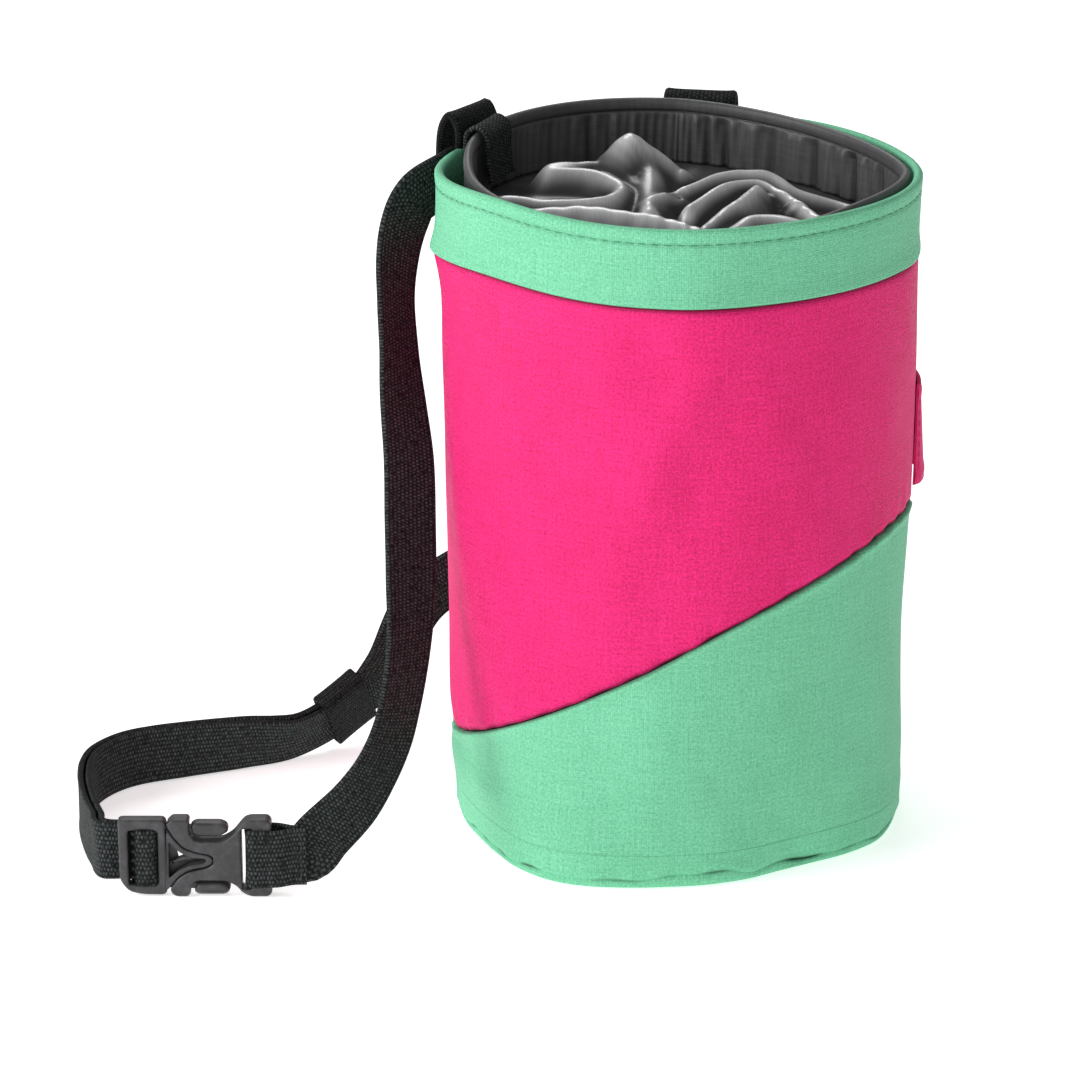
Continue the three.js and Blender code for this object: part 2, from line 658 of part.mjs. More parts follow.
const floorStops = freeStops(returnRoute);
const beltStops = [...sewnEndStops(), ...freeStops(riseRoute), ...backStops(), ...floorStops, ...ladderEndStops()];
const beltLine = strapLine(beltStops);

function beltWebbing() {
  return strapSolid(beltStops, beltWidth, beltThickness, 2);
}

// How far towards the next stop of the route the tail's end stays short of it.
const tailPastKeeper = 0.3;

// The tail leaves the outer slot, lies against the belt's outer side round the bend and ends past the keeper.
function beltTail() {
  const layer = beltThickness + beltLayerGap;
  const down = new THREE.Vector3(0, 0, -1);
  const besideEndBar = frameThickness / 2 + clearance + beltThickness / 2;
  const start = [
    { x: slotAt.outer, y: -0.4 },
    { x: slotAt.outer, y: besideEndBar * 0.35 },
    { x: slotAt.outer - 0.35, y: besideEndBar * 0.7 },
    { x: slotAt.outer - 1.3, y: besideEndBar * 0.95 },
    { x: 1.2, y: besideEndBar },
    { x: -1, y: besideEndBar },
  ].map((row) => ({ place: atBuckle(row.x, row.y, 0), across: down }));
  const first = beltStops.indexOf(floorStops[1]) + tailPastKeeper;
  const last = beltStops.indexOf(floorStops[floorStops.length - 1]) + 1;
  const beside = [];
  for (let stop = last; stop >= first; stop -= 0.5) {
    const { place, across, out } = beltLine(stop);
    beside.push({ place: place.addScaledVector(out, -layer), across });
  }
  return strapSolid([...start, ...beside], beltWidth, beltThickness, 1);
}

// The keeper is a short sleeve of webbing round both layers of the belt.
function beltKeeper() {
  const { place, across, out } = beltLine(beltStops.indexOf(floorStops[2]) - 0.1);
  const layer = beltThickness + beltLayerGap;
  const room = clearance * 4;
  const outline = (grow) => {
    const wide = beltWidth / 2 + room + grow;
    const thick = (layer + beltThickness) / 2 + room + grow;
    return [
      new THREE.Vector2(-wide, -thick),
      new THREE.Vector2(wide, -thick),
      new THREE.Vector2(wide, thick),
      new THREE.Vector2(-wide, thick),
    ];
  };
  const shape = new THREE.Shape(outline(keeperThickness));
  shape.holes.push(new THREE.Path(outline(0)));
  const geometry = new THREE.ExtrudeGeometry(shape, { depth: keeperLength, bevelEnabled: false });
  geometry.translate(0, 0, -keeperLength / 2);
  const basis = new THREE.Matrix4().makeBasis(across, out, new THREE.Vector3().crossVectors(across, out));
  basis.setPosition(place.addScaledVector(out, -layer / 2));
  return geometry.applyMatrix4(basis);
}

// Booleans for the buckle halves.
function toManifold(geometry) {
  const bare = geometry.clone();
  bare.deleteAttribute('normal');
  bare.deleteAttribute('uv');
  const merged = mergeVertices(bare, 1e-4);
  return new wasm.Manifold(new wasm.Mesh({
    numProp: 3,
    vertProperties: new Float32Array(merged.attributes.position.array),
    triVerts: new Uint32Array(merged.index.array),
  }));
}

function fromManifold(solid) {
  const mesh = solid.getMesh();
  const geometry = new THREE.BufferGeometry();
  geometry.setAttribute('position', new THREE.BufferAttribute(new Float32Array(mesh.vertProperties), 3));
  geometry.setIndex(new THREE.BufferAttribute(new Uint32Array(mesh.triVerts), 1));
  geometry.computeVertexNormals();
  return geometry;
}

// A plate in the buckle's own axes, from an outline in its length and half width, centred in its thickness.
function plate(outline, thickness, curveSegments = 6) {
  const geometry = new THREE.ExtrudeGeometry(outline, { depth: thickness, bevelEnabled: false, curveSegments });
  geometry.translate(0, 0, -thickness / 2);
  geometry.rotateX(Math.PI / 2);
  return toManifold(geometry);
}

function rectangle(fromX, toX, fromZ, toZ, corner = 0) {
  const shape = new THREE.Shape();
  if (corner === 0) {
    shape.setFromPoints([
      new THREE.Vector2(fromX, fromZ), new THREE.Vector2(toX, fromZ),
      new THREE.Vector2(toX, toZ), new THREE.Vector2(fromX, toZ),
    ]);
    return shape;
  }
  shape.moveTo(fromX + corner, fromZ);
  shape.lineTo(toX - corner, fromZ);
  shape.quadraticCurveTo(toX, fromZ, toX, fromZ + corner);
  shape.lineTo(toX, toZ - corner);
  shape.quadraticCurveTo(toX, toZ, toX - corner, toZ);
  shape.lineTo(fromX + corner, toZ);
  shape.quadraticCurveTo(fromX, toZ, fromX, toZ - corner);
  shape.lineTo(fromX, fromZ + corner);
  shape.quadraticCurveTo(fromX, fromZ, fromX + corner, fromZ);
  return shape;
}

// An outline drawn for the upper half as length and half-width pairs, and mirrored below.
function mirrored(points) {
  const upper = points.map(([x, z]) => new THREE.Vector2(x, z));
  const lower = points.filter(([, z]) => z !== 0).map(([x, z]) => new THREE.Vector2(x, -z));
  return new THREE.Shape([...upper, ...lower.reverse()]);
}

const halfBuckle = buckleWidth / 2;
const windowHalf = beltWidth / 2 + clearance * 2;
const armThickness = 3;
const frameLength = 13.3;
const mouthDepth = 25;
const buttonEnd = 27.6;

// The left half: a frame with a ladder bar, two springy arms with their side buttons, and a guide tongue.
function buckleMale() {
  const frame = plate(rectangle(0, frameLength, -halfBuckle, halfBuckle, 2), frameThickness);
  const window = plate(rectangle(2.2, frameLength - 1.9, -windowHalf, windowHalf), frameThickness * 2);
  const ladder = plate(rectangle(ladderAt - barHalf, ladderAt + barHalf, -windowHalf - 1, windowHalf + 1), barThickness);
  const arm = [
    [frameLength - 0.5, halfBuckle - 5.5], [17, halfBuckle - 4.8], [22, halfBuckle - 4.5],
    [26.6, halfBuckle - 3.5], [buttonEnd, halfBuckle - 2.3], [buttonEnd - 0.4, halfBuckle - 0.25],
    [20.6, halfBuckle - 0.25], [19.6, halfBuckle - 1.85], [16.5, halfBuckle - 2.1],
    [frameLength - 0.5, halfBuckle - 1.9],
  ];
  const upperArm = plate(new THREE.Shape(arm.map(([x, z]) => new THREE.Vector2(x, z))), armThickness);
  const lowerArm = plate(new THREE.Shape(arm.map(([x, z]) => new THREE.Vector2(x, -z))), armThickness);
  const tongue = plate(mirrored([[frameLength - 0.5, 0.9], [mouthDepth - 1.2, 0.9], [mouthDepth, 0]]), armThickness);
  return fromManifold(frame.subtract(window).add(ladder).add(upperArm).add(lowerArm).add(tongue));
}

// The right half: a waisted housing with a V mouth, open sides for the buttons, and a slot for the sewn end.
function buckleFemale() {
  const mouth = frameLength + clearance + 0.1;
  const collarEnd = 18.8;
  const housing = plate(mirrored([
    [mouthDepth, 0], [21.5, 1.4], [17.5, 3], [mouth + 0.7, halfBuckle - 2.1], [mouth, halfBuckle - 1.1],
    [mouth, halfBuckle], [collarEnd, halfBuckle], [collarEnd + 0.8, halfBuckle - 2.2], [21, halfBuckle - 5.1],
    [26, halfBuckle - 5.3], [28.2, halfBuckle - 2.7], [28.6, halfBuckle - 0.7], [29.2, halfBuckle - 1.5],
    [30.4, halfBuckle - 1.5], [31, halfBuckle], [buckleLength - 1, halfBuckle], [buckleLength, halfBuckle - 1],
  ]), buckleThickness);
  const cavityEnd = buttonEnd + clearance + 0.1;
  const cavityThickness = armThickness + 2 * clearance;
  const cavity = plate(rectangle(0, cavityEnd, 1.4 - halfBuckle, halfBuckle - 1.4), cavityThickness);
  const buttonRoom = plate(rectangle(collarEnd, cavityEnd, -buckleWidth, buckleWidth), cavityThickness);
  const hornStart = slotAt.female - 2.1;
  const hornSide = (buckleThickness - frameThickness) / 2;
  const thinned = plate(rectangle(hornStart, buckleLength + 1, -buckleWidth, buckleWidth), hornSide);
  const slot = plate(rectangle(slotAt.female - 1.3, slotAt.female + 1.3, -windowHalf, windowHalf), buckleThickness * 2);
  const toSide = (frameThickness + hornSide) / 2;
  return fromManifold(housing
    .subtract(cavity)
    .subtract(buttonRoom)
    .subtract(slot)
    .subtract(thinned.translate([0, toSide, 0]))
    .subtract(thinned.translate([0, -toSide, 0])));
}

// Colours, roughness and metalness of the materials.
function cloth(colour, roughness) {
  return new THREE.MeshStandardMaterial({ color: colour, roughness, metalness: 0 });
}

const materials = {
  mint: cloth(0x7fd6a8, 0.9),
  pink: cloth(0xe8307a, 0.9),
  lining: cloth(0x3c3c40, 0.85),
  satin: cloth(0x6a6a6e, 0.45),
  webbing: cloth(0x222226, 0.85),
  plastic: cloth(0x2c2c30, 0.5),
};

const bag = new THREE.Group();

function addPart(name, geometry, material) {
  const mesh = new THREE.Mesh(geometry, materials[material]);
  mesh.name = name;
  bag.add(mesh);
  return mesh;
}

addPart('rim_band', rimBand(), 'mint');
addPart('body_panel', bodyPanel(), 'pink');
addPart('lower_panel', lowerPanel(), 'mint');
addPart('base_panel', basePanel(), 'mint');
addPart('twist_ring', twistRing(), 'lining');
addPart('closure', closure(), 'satin');
addPart('ring_tab', ringTab(), 'webbing');
addPart('belt_loop_left', beltLoop(leftLoopAround, leftLoopAboveRim), 'webbing');
addPart('belt_loop_right', beltLoop(rightLoopAround, rightLoopAboveRim), 'webbing');
addPart('brush_loop', brushLoop(), 'pink');
addPart('belt_webbing', beltWebbing(), 'webbing');
addPart('belt_tail', beltTail(), 'webbing');
addPart('belt_keeper', beltKeeper(), 'webbing');
for (const [name, geometry] of [['buckle_male', buckleMale()], ['buckle_female', buckleFemale()]]) {
  addPart(name, geometry, 'plastic').position.copy(atBuckle(0, 0, 0));
}

export default bag;
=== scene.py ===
# A climbing chalk bag with its waist belt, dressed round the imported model: mint and pink canvas walls, a
# twist ring with crumpled satin in the mouth, webbing loops, a brush sleeve, and the buckled belt laid
# beside it.

import math

import bpy
import numpy as np
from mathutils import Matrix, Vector


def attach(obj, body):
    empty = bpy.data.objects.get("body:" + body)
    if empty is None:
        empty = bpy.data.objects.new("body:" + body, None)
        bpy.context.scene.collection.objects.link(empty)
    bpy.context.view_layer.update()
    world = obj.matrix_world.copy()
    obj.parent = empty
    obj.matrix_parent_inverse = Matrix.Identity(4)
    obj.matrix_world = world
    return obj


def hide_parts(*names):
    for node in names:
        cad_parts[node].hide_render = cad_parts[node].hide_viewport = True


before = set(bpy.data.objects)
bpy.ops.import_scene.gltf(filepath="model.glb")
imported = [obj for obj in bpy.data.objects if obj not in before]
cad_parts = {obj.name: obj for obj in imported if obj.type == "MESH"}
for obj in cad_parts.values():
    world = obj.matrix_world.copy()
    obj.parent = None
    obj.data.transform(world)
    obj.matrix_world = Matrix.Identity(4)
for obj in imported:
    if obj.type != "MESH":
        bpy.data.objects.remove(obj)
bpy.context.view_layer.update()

# Camera
# A long lens looks at the bag from the front and a little above, with the belt's buckle at the left of the
# picture.
camera_pitch = math.radians(19)
camera_aim = Vector((-0.0368, 0, 0.076))
camera = bpy.data.objects.new("camera", bpy.data.cameras.new("camera"))
bpy.context.scene.collection.objects.link(camera)
camera.location = camera_aim + 1.3 * Vector((0, -math.cos(camera_pitch), math.sin(camera_pitch)))
camera.rotation_euler = (math.pi / 2 - camera_pitch, 0, 0)
camera.data.sensor_width = 36
camera.data.lens = 161.2
bpy.context.scene.camera = camera

# Base panel
# A round of mint canvas that the bag stands on, turned up all round and sewn to the wall in the base seam.
# Its own cloth hangs over the edge in soft crumples, most of all at the front right, where the wall is
# pushed in.
MM = 0.001
BAG_HEIGHT = 179
HALF_WIDTH = 62.5
HALF_DEPTH = 62
BASE_TURN_UP = 10
BASE_THICKNESS = 2.5

# Plan sections of the bag: height as a share of its own, the left, right, front and back reach, and
# roundness.
SECTIONS = np.array([
    (0.0, 0.945, 0.965, 0.97, 0.97, 2.0),
    (0.055, 0.958, 0.984, 0.985, 0.98, 2.0),
    (0.1, 0.976, 0.982, 0.985, 0.985, 2.0),
    (0.134, 0.962, 0.982, 0.985, 0.985, 2.0),
    (0.19, 0.975, 0.98, 0.98, 0.985, 1.98),
    (0.33, 0.982, 0.978, 0.97, 0.985, 1.95),
    (0.5, 0.992, 0.998, 0.965, 0.985, 1.92),
    (0.7, 1.0, 1.008, 0.97, 0.99, 1.88),
    (0.86, 1.01, 1.006, 0.98, 1.005, 1.83),
    (1.0, 1.032, 1.016, 1.0, 1.032, 1.8),
])
# Dents and bulges: bearing from the front towards the right, height share, width, tallness, and push.
DENTS = [
    (-32, 0.0, 26, 0.28, 0.1), (33, 0.0, 24, 0.2, -0.065), (62, 0.02, 18, 0.16, 0.02),
    (-8, 0.55, 30, 0.25, -0.012),
    (38, 0.45, 24, 0.3, 0.01), (-48, 0.5, 22, 0.3, 0.012), (150, 0.4, 34, 0.3, -0.015),
    (-140, 0.3, 30, 0.3, 0.012),
]


def section_at(up):
    """The plan section's numbers at a height share, read smoothly through the table's rows."""
    ups = SECTIONS[:, 0]
    up = np.asarray(up, float)
    high = np.clip(np.searchsorted(ups, up, side="right"), 1, len(ups) - 1)
    low = high - 1
    before, after = np.maximum(high - 2, 0), np.minimum(high + 1, len(ups) - 1)
    span = ups[high] - ups[low]
    share = np.clip((up - ups[low]) / span, 0, 1)[..., None]
    rows = SECTIONS[:, 1:]
    slope_low = (rows[high] - rows[before]) / (ups[high] - ups[before])[..., None] * span[..., None]
    slope_high = (rows[after] - rows[low]) / (ups[after] - ups[low])[..., None] * span[..., None]
    square, cube = share ** 2, share ** 3
    return ((2 * cube - 3 * square + 1) * rows[low] + (cube - 2 * square + share) * slope_low
            + (3 * square - 2 * cube) * rows[high] + (cube - square) * slope_high)


def bell(distance, reach):
    return np.exp(-1.6 * (distance / reach) ** 2)


def turn_between(one, other):
    return (one - other + 180) % 360 - 180


def rounded_plan(around, left, right, front, back, left_power, right_power):
    """A point of a rounded plan curve at a bearing in degrees, from its half sizes and its powers."""
    side, ahead = np.sin(np.radians(around)), np.cos(np.radians(around))
    bend = 2 / np.where(side < 0, left_power, right_power)
    x = np.where(side < 0, left, right) * np.sign(side) * np.abs(side) ** bend
    y = -np.where(ahead > 0, front, back) * np.sign(ahead) * np.abs(ahead) ** bend
    return np.stack([x, y], -1)


def bag_plan(around, z):
    """The outer surface of the bag's wall in plan, at a bearing and a height in millimetres."""
    up = np.asarray(z, float) / BAG_HEIGHT
    row = section_at(up)
    point = rounded_plan(around, row[..., 0] * HALF_WIDTH, row[..., 1] * HALF_WIDTH,
                         row[..., 2] * HALF_DEPTH,
                         row[..., 3] * HALF_DEPTH, row[..., 4], row[..., 4])
    push = sum(row[4] * bell(turn_between(around, row[0]), row[2]) * bell(up - row[1], row[3])
               for row in DENTS)
    return point * (1 + push)[..., None]


def off_plan(plan, around, z, out):
    """A plan curve's point moved out along its normal, with its height: three numbers in millimetres."""
    around, z, out = np.broadcast_arrays(np.asarray(around, float), np.asarray(z, float),
                                         np.asarray(out, float))
    point = plan(around, z)
    along = plan(around + 0.5, z) - plan(around - 0.5, z)
    along /= np.linalg.norm(along, axis=-1, keepdims=True)
    return np.stack([point[..., 0] + out * along[..., 1], point[..., 1] - out * along[..., 0], z], -1)


def on_wall(around, z, out):
    return off_plan(bag_plan, around, z, out)


def soft_waves(around, z, scale, seed):
    """Slow uneven waves over the wall, about -1 to 1, that close up round the bag. scale is their number
    round it."""
    random = np.random.default_rng(seed)
    total = 0
    for _ in range(7):
        turns = np.round(random.uniform(0.4, 1.4) * scale)
        lean = random.uniform(-1, 1) * scale / 62
        total = total + np.sin(np.radians(around) * turns + lean * z + random.uniform(0, 6.3))
    return total / 3.2


def cloth_piece(name, points, lengths, material, wrap=(True, True), ends=False, shade=None):
    """A mesh of a grid of points in millimetres, closed round either way where wrap says so. lengths gives
    the cloth's own two lengths at each corner, which its weave follows, and shade how much painted shade
    darkens a corner in a crease or along a seam."""
    columns, rows = points.shape[:2]
    i, k = np.meshgrid(np.arange(columns - (not wrap[0])), np.arange(rows - (not wrap[1])), indexing="ij")
    corners = [(i, k), (i + 1, k), (i + 1, k + 1), (i, k + 1)]
    faces = np.stack([(a % columns) * rows + b % rows for a, b in corners], -1).reshape(-1, 4)
    uvs = np.stack([lengths[a, b] for a, b in corners], -2).reshape(-1, 4, 2)
    places = points.reshape(-1, 3) * MM
    a, b, c, d = (places[faces[:, n]] for n in range(4))
    volume = np.einsum("ij,ij->", a, np.cross(b, c)) + np.einsum("ij,ij->", a, np.cross(c, d))
    faces, uvs = faces.tolist(), uvs.tolist()
    if ends:
        for column, turned in ((0, True), (columns - 1, False)):
            loop = [column * rows + k for k in range(rows)]
            ring = [list(lengths[column, k]) for k in range(rows)]
            faces.append(loop[::-1] if turned else loop)
            uvs.append(ring[::-1] if turned else ring)
    if volume < 0:
        faces = [face[::-1] for face in faces]
        uvs = [ring[::-1] for ring in uvs]
    mesh = bpy.data.meshes.new(name)
    mesh.from_pydata(places.tolist(), [], faces)
    layer = mesh.uv_layers.new(name="cloth")
    layer.data.foreach_set("uv",
                           np.array([number for ring in uvs for uv in ring for number in uv], np.float32))
    mesh.polygons.foreach_set("use_smooth", [True] * len(mesh.polygons))
    # The painted shade that darkens creases and seams, kept at each corner for the material.
    depth = mesh.attributes.new("shade", "FLOAT", "POINT")
    depth.data.foreach_set("value", np.zeros(len(places), np.float32) if shade is None
                           else np.broadcast_to(shade, (columns, rows)).astype(np.float32).ravel())
    mesh.materials.append(material)
    return place_piece(name, mesh)


def place_piece(name, mesh):
    piece = bpy.data.objects.new(name, mesh)
    bpy.context.scene.collection.objects.link(piece)
    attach(piece, "root")
    return piece


def node(tree, kind, inputs=(), **settings):
    """A shader node with its settings, its inputs given as numbers, colours or other nodes' outputs."""
    made = tree.nodes.new("ShaderNode" + kind)
    for key, value in settings.items():
        setattr(made, key, value)
    for key, value in dict(inputs).items():
        if isinstance(value, bpy.types.NodeSocket):
            tree.links.new(value, made.inputs[key])
        else:
            made.inputs[key].default_value = value
    return made


def maths(tree, operation, *values):
    return node(tree, "Math", {n: value for n, value in enumerate(values)}, operation=operation).outputs[0]


def effect_group(name, inputs, outputs):
    """An empty shader group with named inputs, each with its usual value, and named outputs."""
    group = bpy.data.node_groups.new(name, "ShaderNodeTree")
    for label, value in inputs.items():
        kind = "NodeSocketFloat" if isinstance(value, float) else "NodeSocketVector"
        socket = group.interface.new_socket(label, in_out="INPUT", socket_type=kind)
        if kind == "NodeSocketFloat":
            socket.default_value = value
    for label in outputs:
        group.interface.new_socket(label, in_out="OUTPUT", socket_type="NodeSocketFloat")
    return group


def canvas_weave_group():
    """Plain canvas: round yarns that pass over and under each other, uneven in thickness and in tone, with
    painted light on their raised crowns and painted shade between them.
    """
    group = effect_group("canvas_weave", {"Cloth": None, "Yarn": 0.00062, "Slub": 0.5}, ["Height", "Tone"])
    given = group.nodes.new("NodeGroupInput")
    result = group.nodes.new("NodeGroupOutput")
    cloth = node(group, "SeparateXYZ", {0: given.outputs["Cloth"]})
    turns = [maths(group, "DIVIDE", cloth.outputs[n], given.outputs["Yarn"]) for n in (0, 1)]
    swing = [maths(group, "SINE", maths(group, "MULTIPLY", turn, math.pi)) for turn in turns]
    over = node(group, "MapRange",
                {"Value": maths(group, "MULTIPLY", *swing), "From Min": -0.35, "From Max": 0.35},
                interpolation_type="SMOOTHSTEP").outputs[0]
    bulge = [maths(group, "ABSOLUTE", wave) for wave in swing]
    height = node(group, "Mix", {0: over, 2: bulge[0], 3: bulge[1]}).outputs[0]
    streaks = []
    for stretch in ((90, 1300, 1), (1300, 90, 1)):
        place = node(group, "VectorMath", {0: given.outputs["Cloth"], 1: stretch}, operation="MULTIPLY")
        streaks.append(node(group, "TexNoise",
                            {"Vector": place.outputs[0], "Scale": 1, "Detail": 1.5}).outputs[0])
    streak = maths(group, "SUBTRACT", maths(group, "ADD", *streaks), 1)
    uneven = maths(group, "MULTIPLY", streak, given.outputs["Slub"])
    group.links.new(maths(group, "ADD", height, uneven), result.inputs["Height"])
    # Painted light and shade: the tone rises with the yarns' height, lighter on their crowns.
    tone = maths(group, "MULTIPLY_ADD", height, 0.3, 0.42)
    group.links.new(maths(group, "ADD", tone, uneven), result.inputs["Tone"])
    return group


def canvas_fading_group():
    """Slow faded patches and a fine grain in the dye, as a tone to add to the weave's."""
    group = effect_group("canvas_fading", {"Cloth": None}, ["Tone"])
    given = group.nodes.new("NodeGroupInput")
    result = group.nodes.new("NodeGroupOutput")
    parts = []
    for scale, detail, strength in ((38, 3, 0.3), (1500, 2, 1.5)):
        noise = node(group, "TexNoise",
                     {"Vector": given.outputs["Cloth"], "Scale": scale, "Detail": detail})
        parts.append(maths(group, "MULTIPLY_ADD", noise.outputs[0], strength, -strength / 2))
    group.links.new(maths(group, "ADD", *parts), result.inputs["Tone"])
    return group


def new_material(name):
    """An empty material with its node tree and its Principled surface."""
    material = bpy.data.materials.new(name)
    material.use_nodes = True
    return material, material.node_tree, material.node_tree.nodes["Principled BSDF"]


def colour_and_relief(tree, surface, colour, height, strength, distance):
    """Puts a colour on a surface, and the relief of its yarns. distance is the relief's depth in metres."""
    tree.links.new(colour.outputs[2], surface.inputs["Base Color"])
    bump = node(tree, "Bump", {"Strength": strength, "Distance": distance, "Height": height})
    tree.links.new(bump.outputs[0], surface.inputs["Normal"])


canvas_weave = canvas_weave_group()
canvas_fading = canvas_fading_group()


def canvas(name, deep, light, shine, yarn=0.00062):
    """A dyed canvas: matt, with the yarns' relief, faded patches and painted shade in creases and seams.
    Colours are linear.
    """
    material, tree, surface = new_material(name)
    lengths = node(tree, "UVMap", uv_map="cloth").outputs[0]
    weave = node(tree, "Group", node_tree=canvas_weave)
    tree.links.new(lengths, weave.inputs["Cloth"])
    weave.inputs["Yarn"].default_value = yarn
    weave.inputs["Slub"].default_value = 0.4
    faded = node(tree, "Group", node_tree=canvas_fading)
    tree.links.new(lengths, faded.inputs["Cloth"])
    crease_shade = node(tree, "Attribute", attribute_name="shade").outputs["Fac"]
    tone = maths(tree, "ADD", weave.outputs["Tone"], faded.outputs["Tone"])
    colour = node(tree, "Mix", {0: tone, 6: (*deep, 1), 7: (*light, 1)}, data_type="RGBA",
                  clamp_factor=True)
    # Painted shade: creases and seams are mixed towards this much darker copy of the deep colour.
    dark = [number * 0.16 for number in deep]
    crease_shaded = node(tree, "Mix", {0: crease_shade, 6: colour.outputs[2], 7: (*dark, 1)}, data_type="RGBA")
    colour_and_relief(tree, surface, crease_shaded, weave.outputs["Height"], 0.55, 0.00022)
    surface.inputs["Roughness"].default_value = 0.6
    surface.inputs["Specular IOR Level"].default_value = shine
    surface.inputs["Sheen Weight"].default_value = shine * 0.1
    surface.inputs["Sheen Roughness"].default_value = 0.5
    return material


mint_canvas = canvas("mint_canvas", (0.09, 0.40, 0.21), (0.24, 0.71, 0.44), 0.27)


def ring_columns(count):
    return np.arange(count) * 360 / count


def lengths_round(line, heights):
    """The cloth's own lengths for a wall: the way round, closed at the last column, and the way up, in
    metres."""
    steps = np.linalg.norm(np.roll(line, -1, 0) - line, axis=1)
    way = np.concatenate([[0], np.cumsum(steps)]) * MM
    up = np.concatenate([heights, heights[:1]]) * MM
    return np.stack(np.broadcast_arrays(way[:, None], up[None, :]), -1)


base_columns = 360
around = ring_columns(base_columns)[:, None]
crumple = 0.5 * soft_waves(around, 0, 13, 3) + 0.35 * soft_waves(around, 0, 37, 4)
fold_in = bell(turn_between(around, 34), 7)
crease_height = 2.5 + 1.6 * bell(turn_between(around, 6), 16) + 0.45 * soft_waves(around, 0, 19, 5)
# Rows up the turned edge: share of the crease's height, height over it, out, crumpling and painted shade.
edge_rows = np.array([
    (0, 0, -2.6, 0, 0.2), (0.06, 0, -1.3, 0, 0), (0.2, 0, -0.65, 0.1, 0), (0.45, 0, -0.3, 0.3, 0),
    (0.7, 0, -0.2, 0.5, 0), (0.86, 0, -0.3, 0.6, 0.25), (0.95, 0, -0.5, 0.8, 0.8), (1, 0.1, -0.55, 1, 1),
    (1, 0.35, -0.3, 1, 0.75), (1, 0.7, -0.05, 1, 0.2), (1, 1.3, 0.1, 1, 0), (1, 2.3, 0.08, 0.7, 0),
    (1, 3.3, 0.04, 0.4, 0), (0, 8.2, 0, 0.1, 0), (0, 9.3, 0, 0, 0), (0, 9.97, 0, 0, 0),
    (0, 10, -0.03, 0, 0),
    (0, 10, -1.6, 0, 0), (0, 9.8, -2.5, 0, 0), (0, 6.5, -2.5, 0, 0), (0, 3.3, -3.2, 0, 0),
])
heights = edge_rows[:, 0] * crease_height + edge_rows[:, 1]
edge_out = edge_rows[:, 2] + edge_rows[:, 3] * (0.45 * crumple - 1.5 * fold_in)
flat_under, flat_inside = (0.03, 0.35, 0.7, 0.9), (0.9, 0.5, 0.03)
under = on_wall(around, 0 * crease_height + np.zeros(4), -2.6)
under[..., :2] *= np.array(flat_under)[None, :, None]
inside = on_wall(around, 0 * crease_height + BASE_THICKNESS + np.zeros(3), -3.2)
inside[..., :2] *= np.array(flat_inside)[None, :, None]
base_points = np.concatenate([under, on_wall(around, heights, edge_out), inside], 1)
base_way = np.concatenate([[-40, -28, -14, -5], edge_rows[:, 0] * 2.5 + edge_rows[:, 1], [14, 28, 40]])
# Painted shade in the crease's groove, uneven along it and deepest at the front right's fold.
base_shade = edge_rows[:, 4] * np.clip(0.15 + 0.55 * soft_waves(around, 0, 31, 6) + 0.9 * fold_in, 0, 1)
base_shade = np.concatenate([np.zeros((base_columns, 4)), base_shade, np.zeros((base_columns, 3))], 1)
outer_row = len(flat_under) + 8
base_lengths = lengths_round(base_points[:, outer_row], base_way)
base_piece = cloth_piece("base_canvas", base_points, base_lengths, mint_canvas, shade=base_shade)
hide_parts("base_panel")

# Lower panel
# The mint canvas wall from the base seam up to the slanting seam. Its top edge is folded under and laid
# over the pink cloth, so that it stands a little proud and catches the light, and the sewing puckers it.
CLEARANCE = 0.3
WALL_THICKNESS = 2


def slant_seam(around):
    return 56 + 32 * np.sin(np.radians(around)) + 9 * np.cos(np.radians(around))


def wall_piece(name, low, high, rows, outside, material, shade):
    """A cloth wall between two seams round the bag. outside gives how far the surface stands proud at a
    bearing, a height and the distances from both seams, and shade how much painted shade darkens it there."""
    around = ring_columns(480)[:, None]
    bottom, top = low(around), high(around)
    share = np.linspace(0, 1, rows - 1)
    share = share - 0.5 * np.sin(2 * np.pi * share) / (2 * np.pi)
    share = np.concatenate([[0, 0.0006], share[1:]])[None, :]
    z = bottom + (top - bottom) * share
    proud = outside(around, z, z - bottom, top - z)
    edge_round = 0.165
    inner_share = np.linspace(1, 0, 16)[None, :]
    inner_z = bottom + edge_round + (top - bottom - 2 * edge_round) * inner_share
    points = np.concatenate([on_wall(around, z, proud), on_wall(around, inner_z, -WALL_THICKNESS)], 1)
    # Painted shade along the seams, and none on the wall's inside.
    depth = np.concatenate([shade(around, z - bottom, top - z), inner_z * 0], 1)
    middle = on_wall(around[:, 0], (bottom + top).ravel() / 2, 0)
    lengths = lengths_round(middle, np.zeros(points.shape[1]))
    closed_z = np.concatenate([z, inner_z, z[:, :1]], 1)
    lengths[..., 1] = np.concatenate([closed_z, closed_z[:1]]) * MM
    return cloth_piece(name, points, lengths, material, shade=depth)


def lower_outside(around, z, from_base, from_seam):
    pucker = soft_waves(around, 0, 44, 11) * np.exp(-from_seam / 3.6) * 0.24
    lip = 0.55 * np.exp(-((from_seam - 1.1) / 1.3) ** 2) - 1.0 * np.exp(-(from_seam / 0.35) ** 2)
    soft_edge = 0.75 * np.exp(-(turn_between(around, -9) / 8) ** 2)
    ripple = 0.5 * soft_waves(around, z, 8, 13) * (1 - np.exp(-from_seam / 14))
    folds = 0.3 * soft_waves(around, z, 21, 14) * np.exp(-from_base / 16)
    above_base = (soft_edge + ripple + folds) * (1 - np.exp(-from_base / 6)) - 0.03 * (from_base < 0.01)
    return pucker + lip + above_base


# Painted shade: a dark line along the slanting seam.
def lower_shade(around, from_base, from_seam):
    return 0.6 * np.exp(-(from_seam / 0.4) ** 2)


lower_piece = wall_piece("lower_canvas", lambda a: BASE_TURN_UP + 0.05 + 0 * a,
                         lambda a: slant_seam(a) - 0.15,
                         96, lower_outside, mint_canvas, lower_shade)
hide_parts("lower_panel")

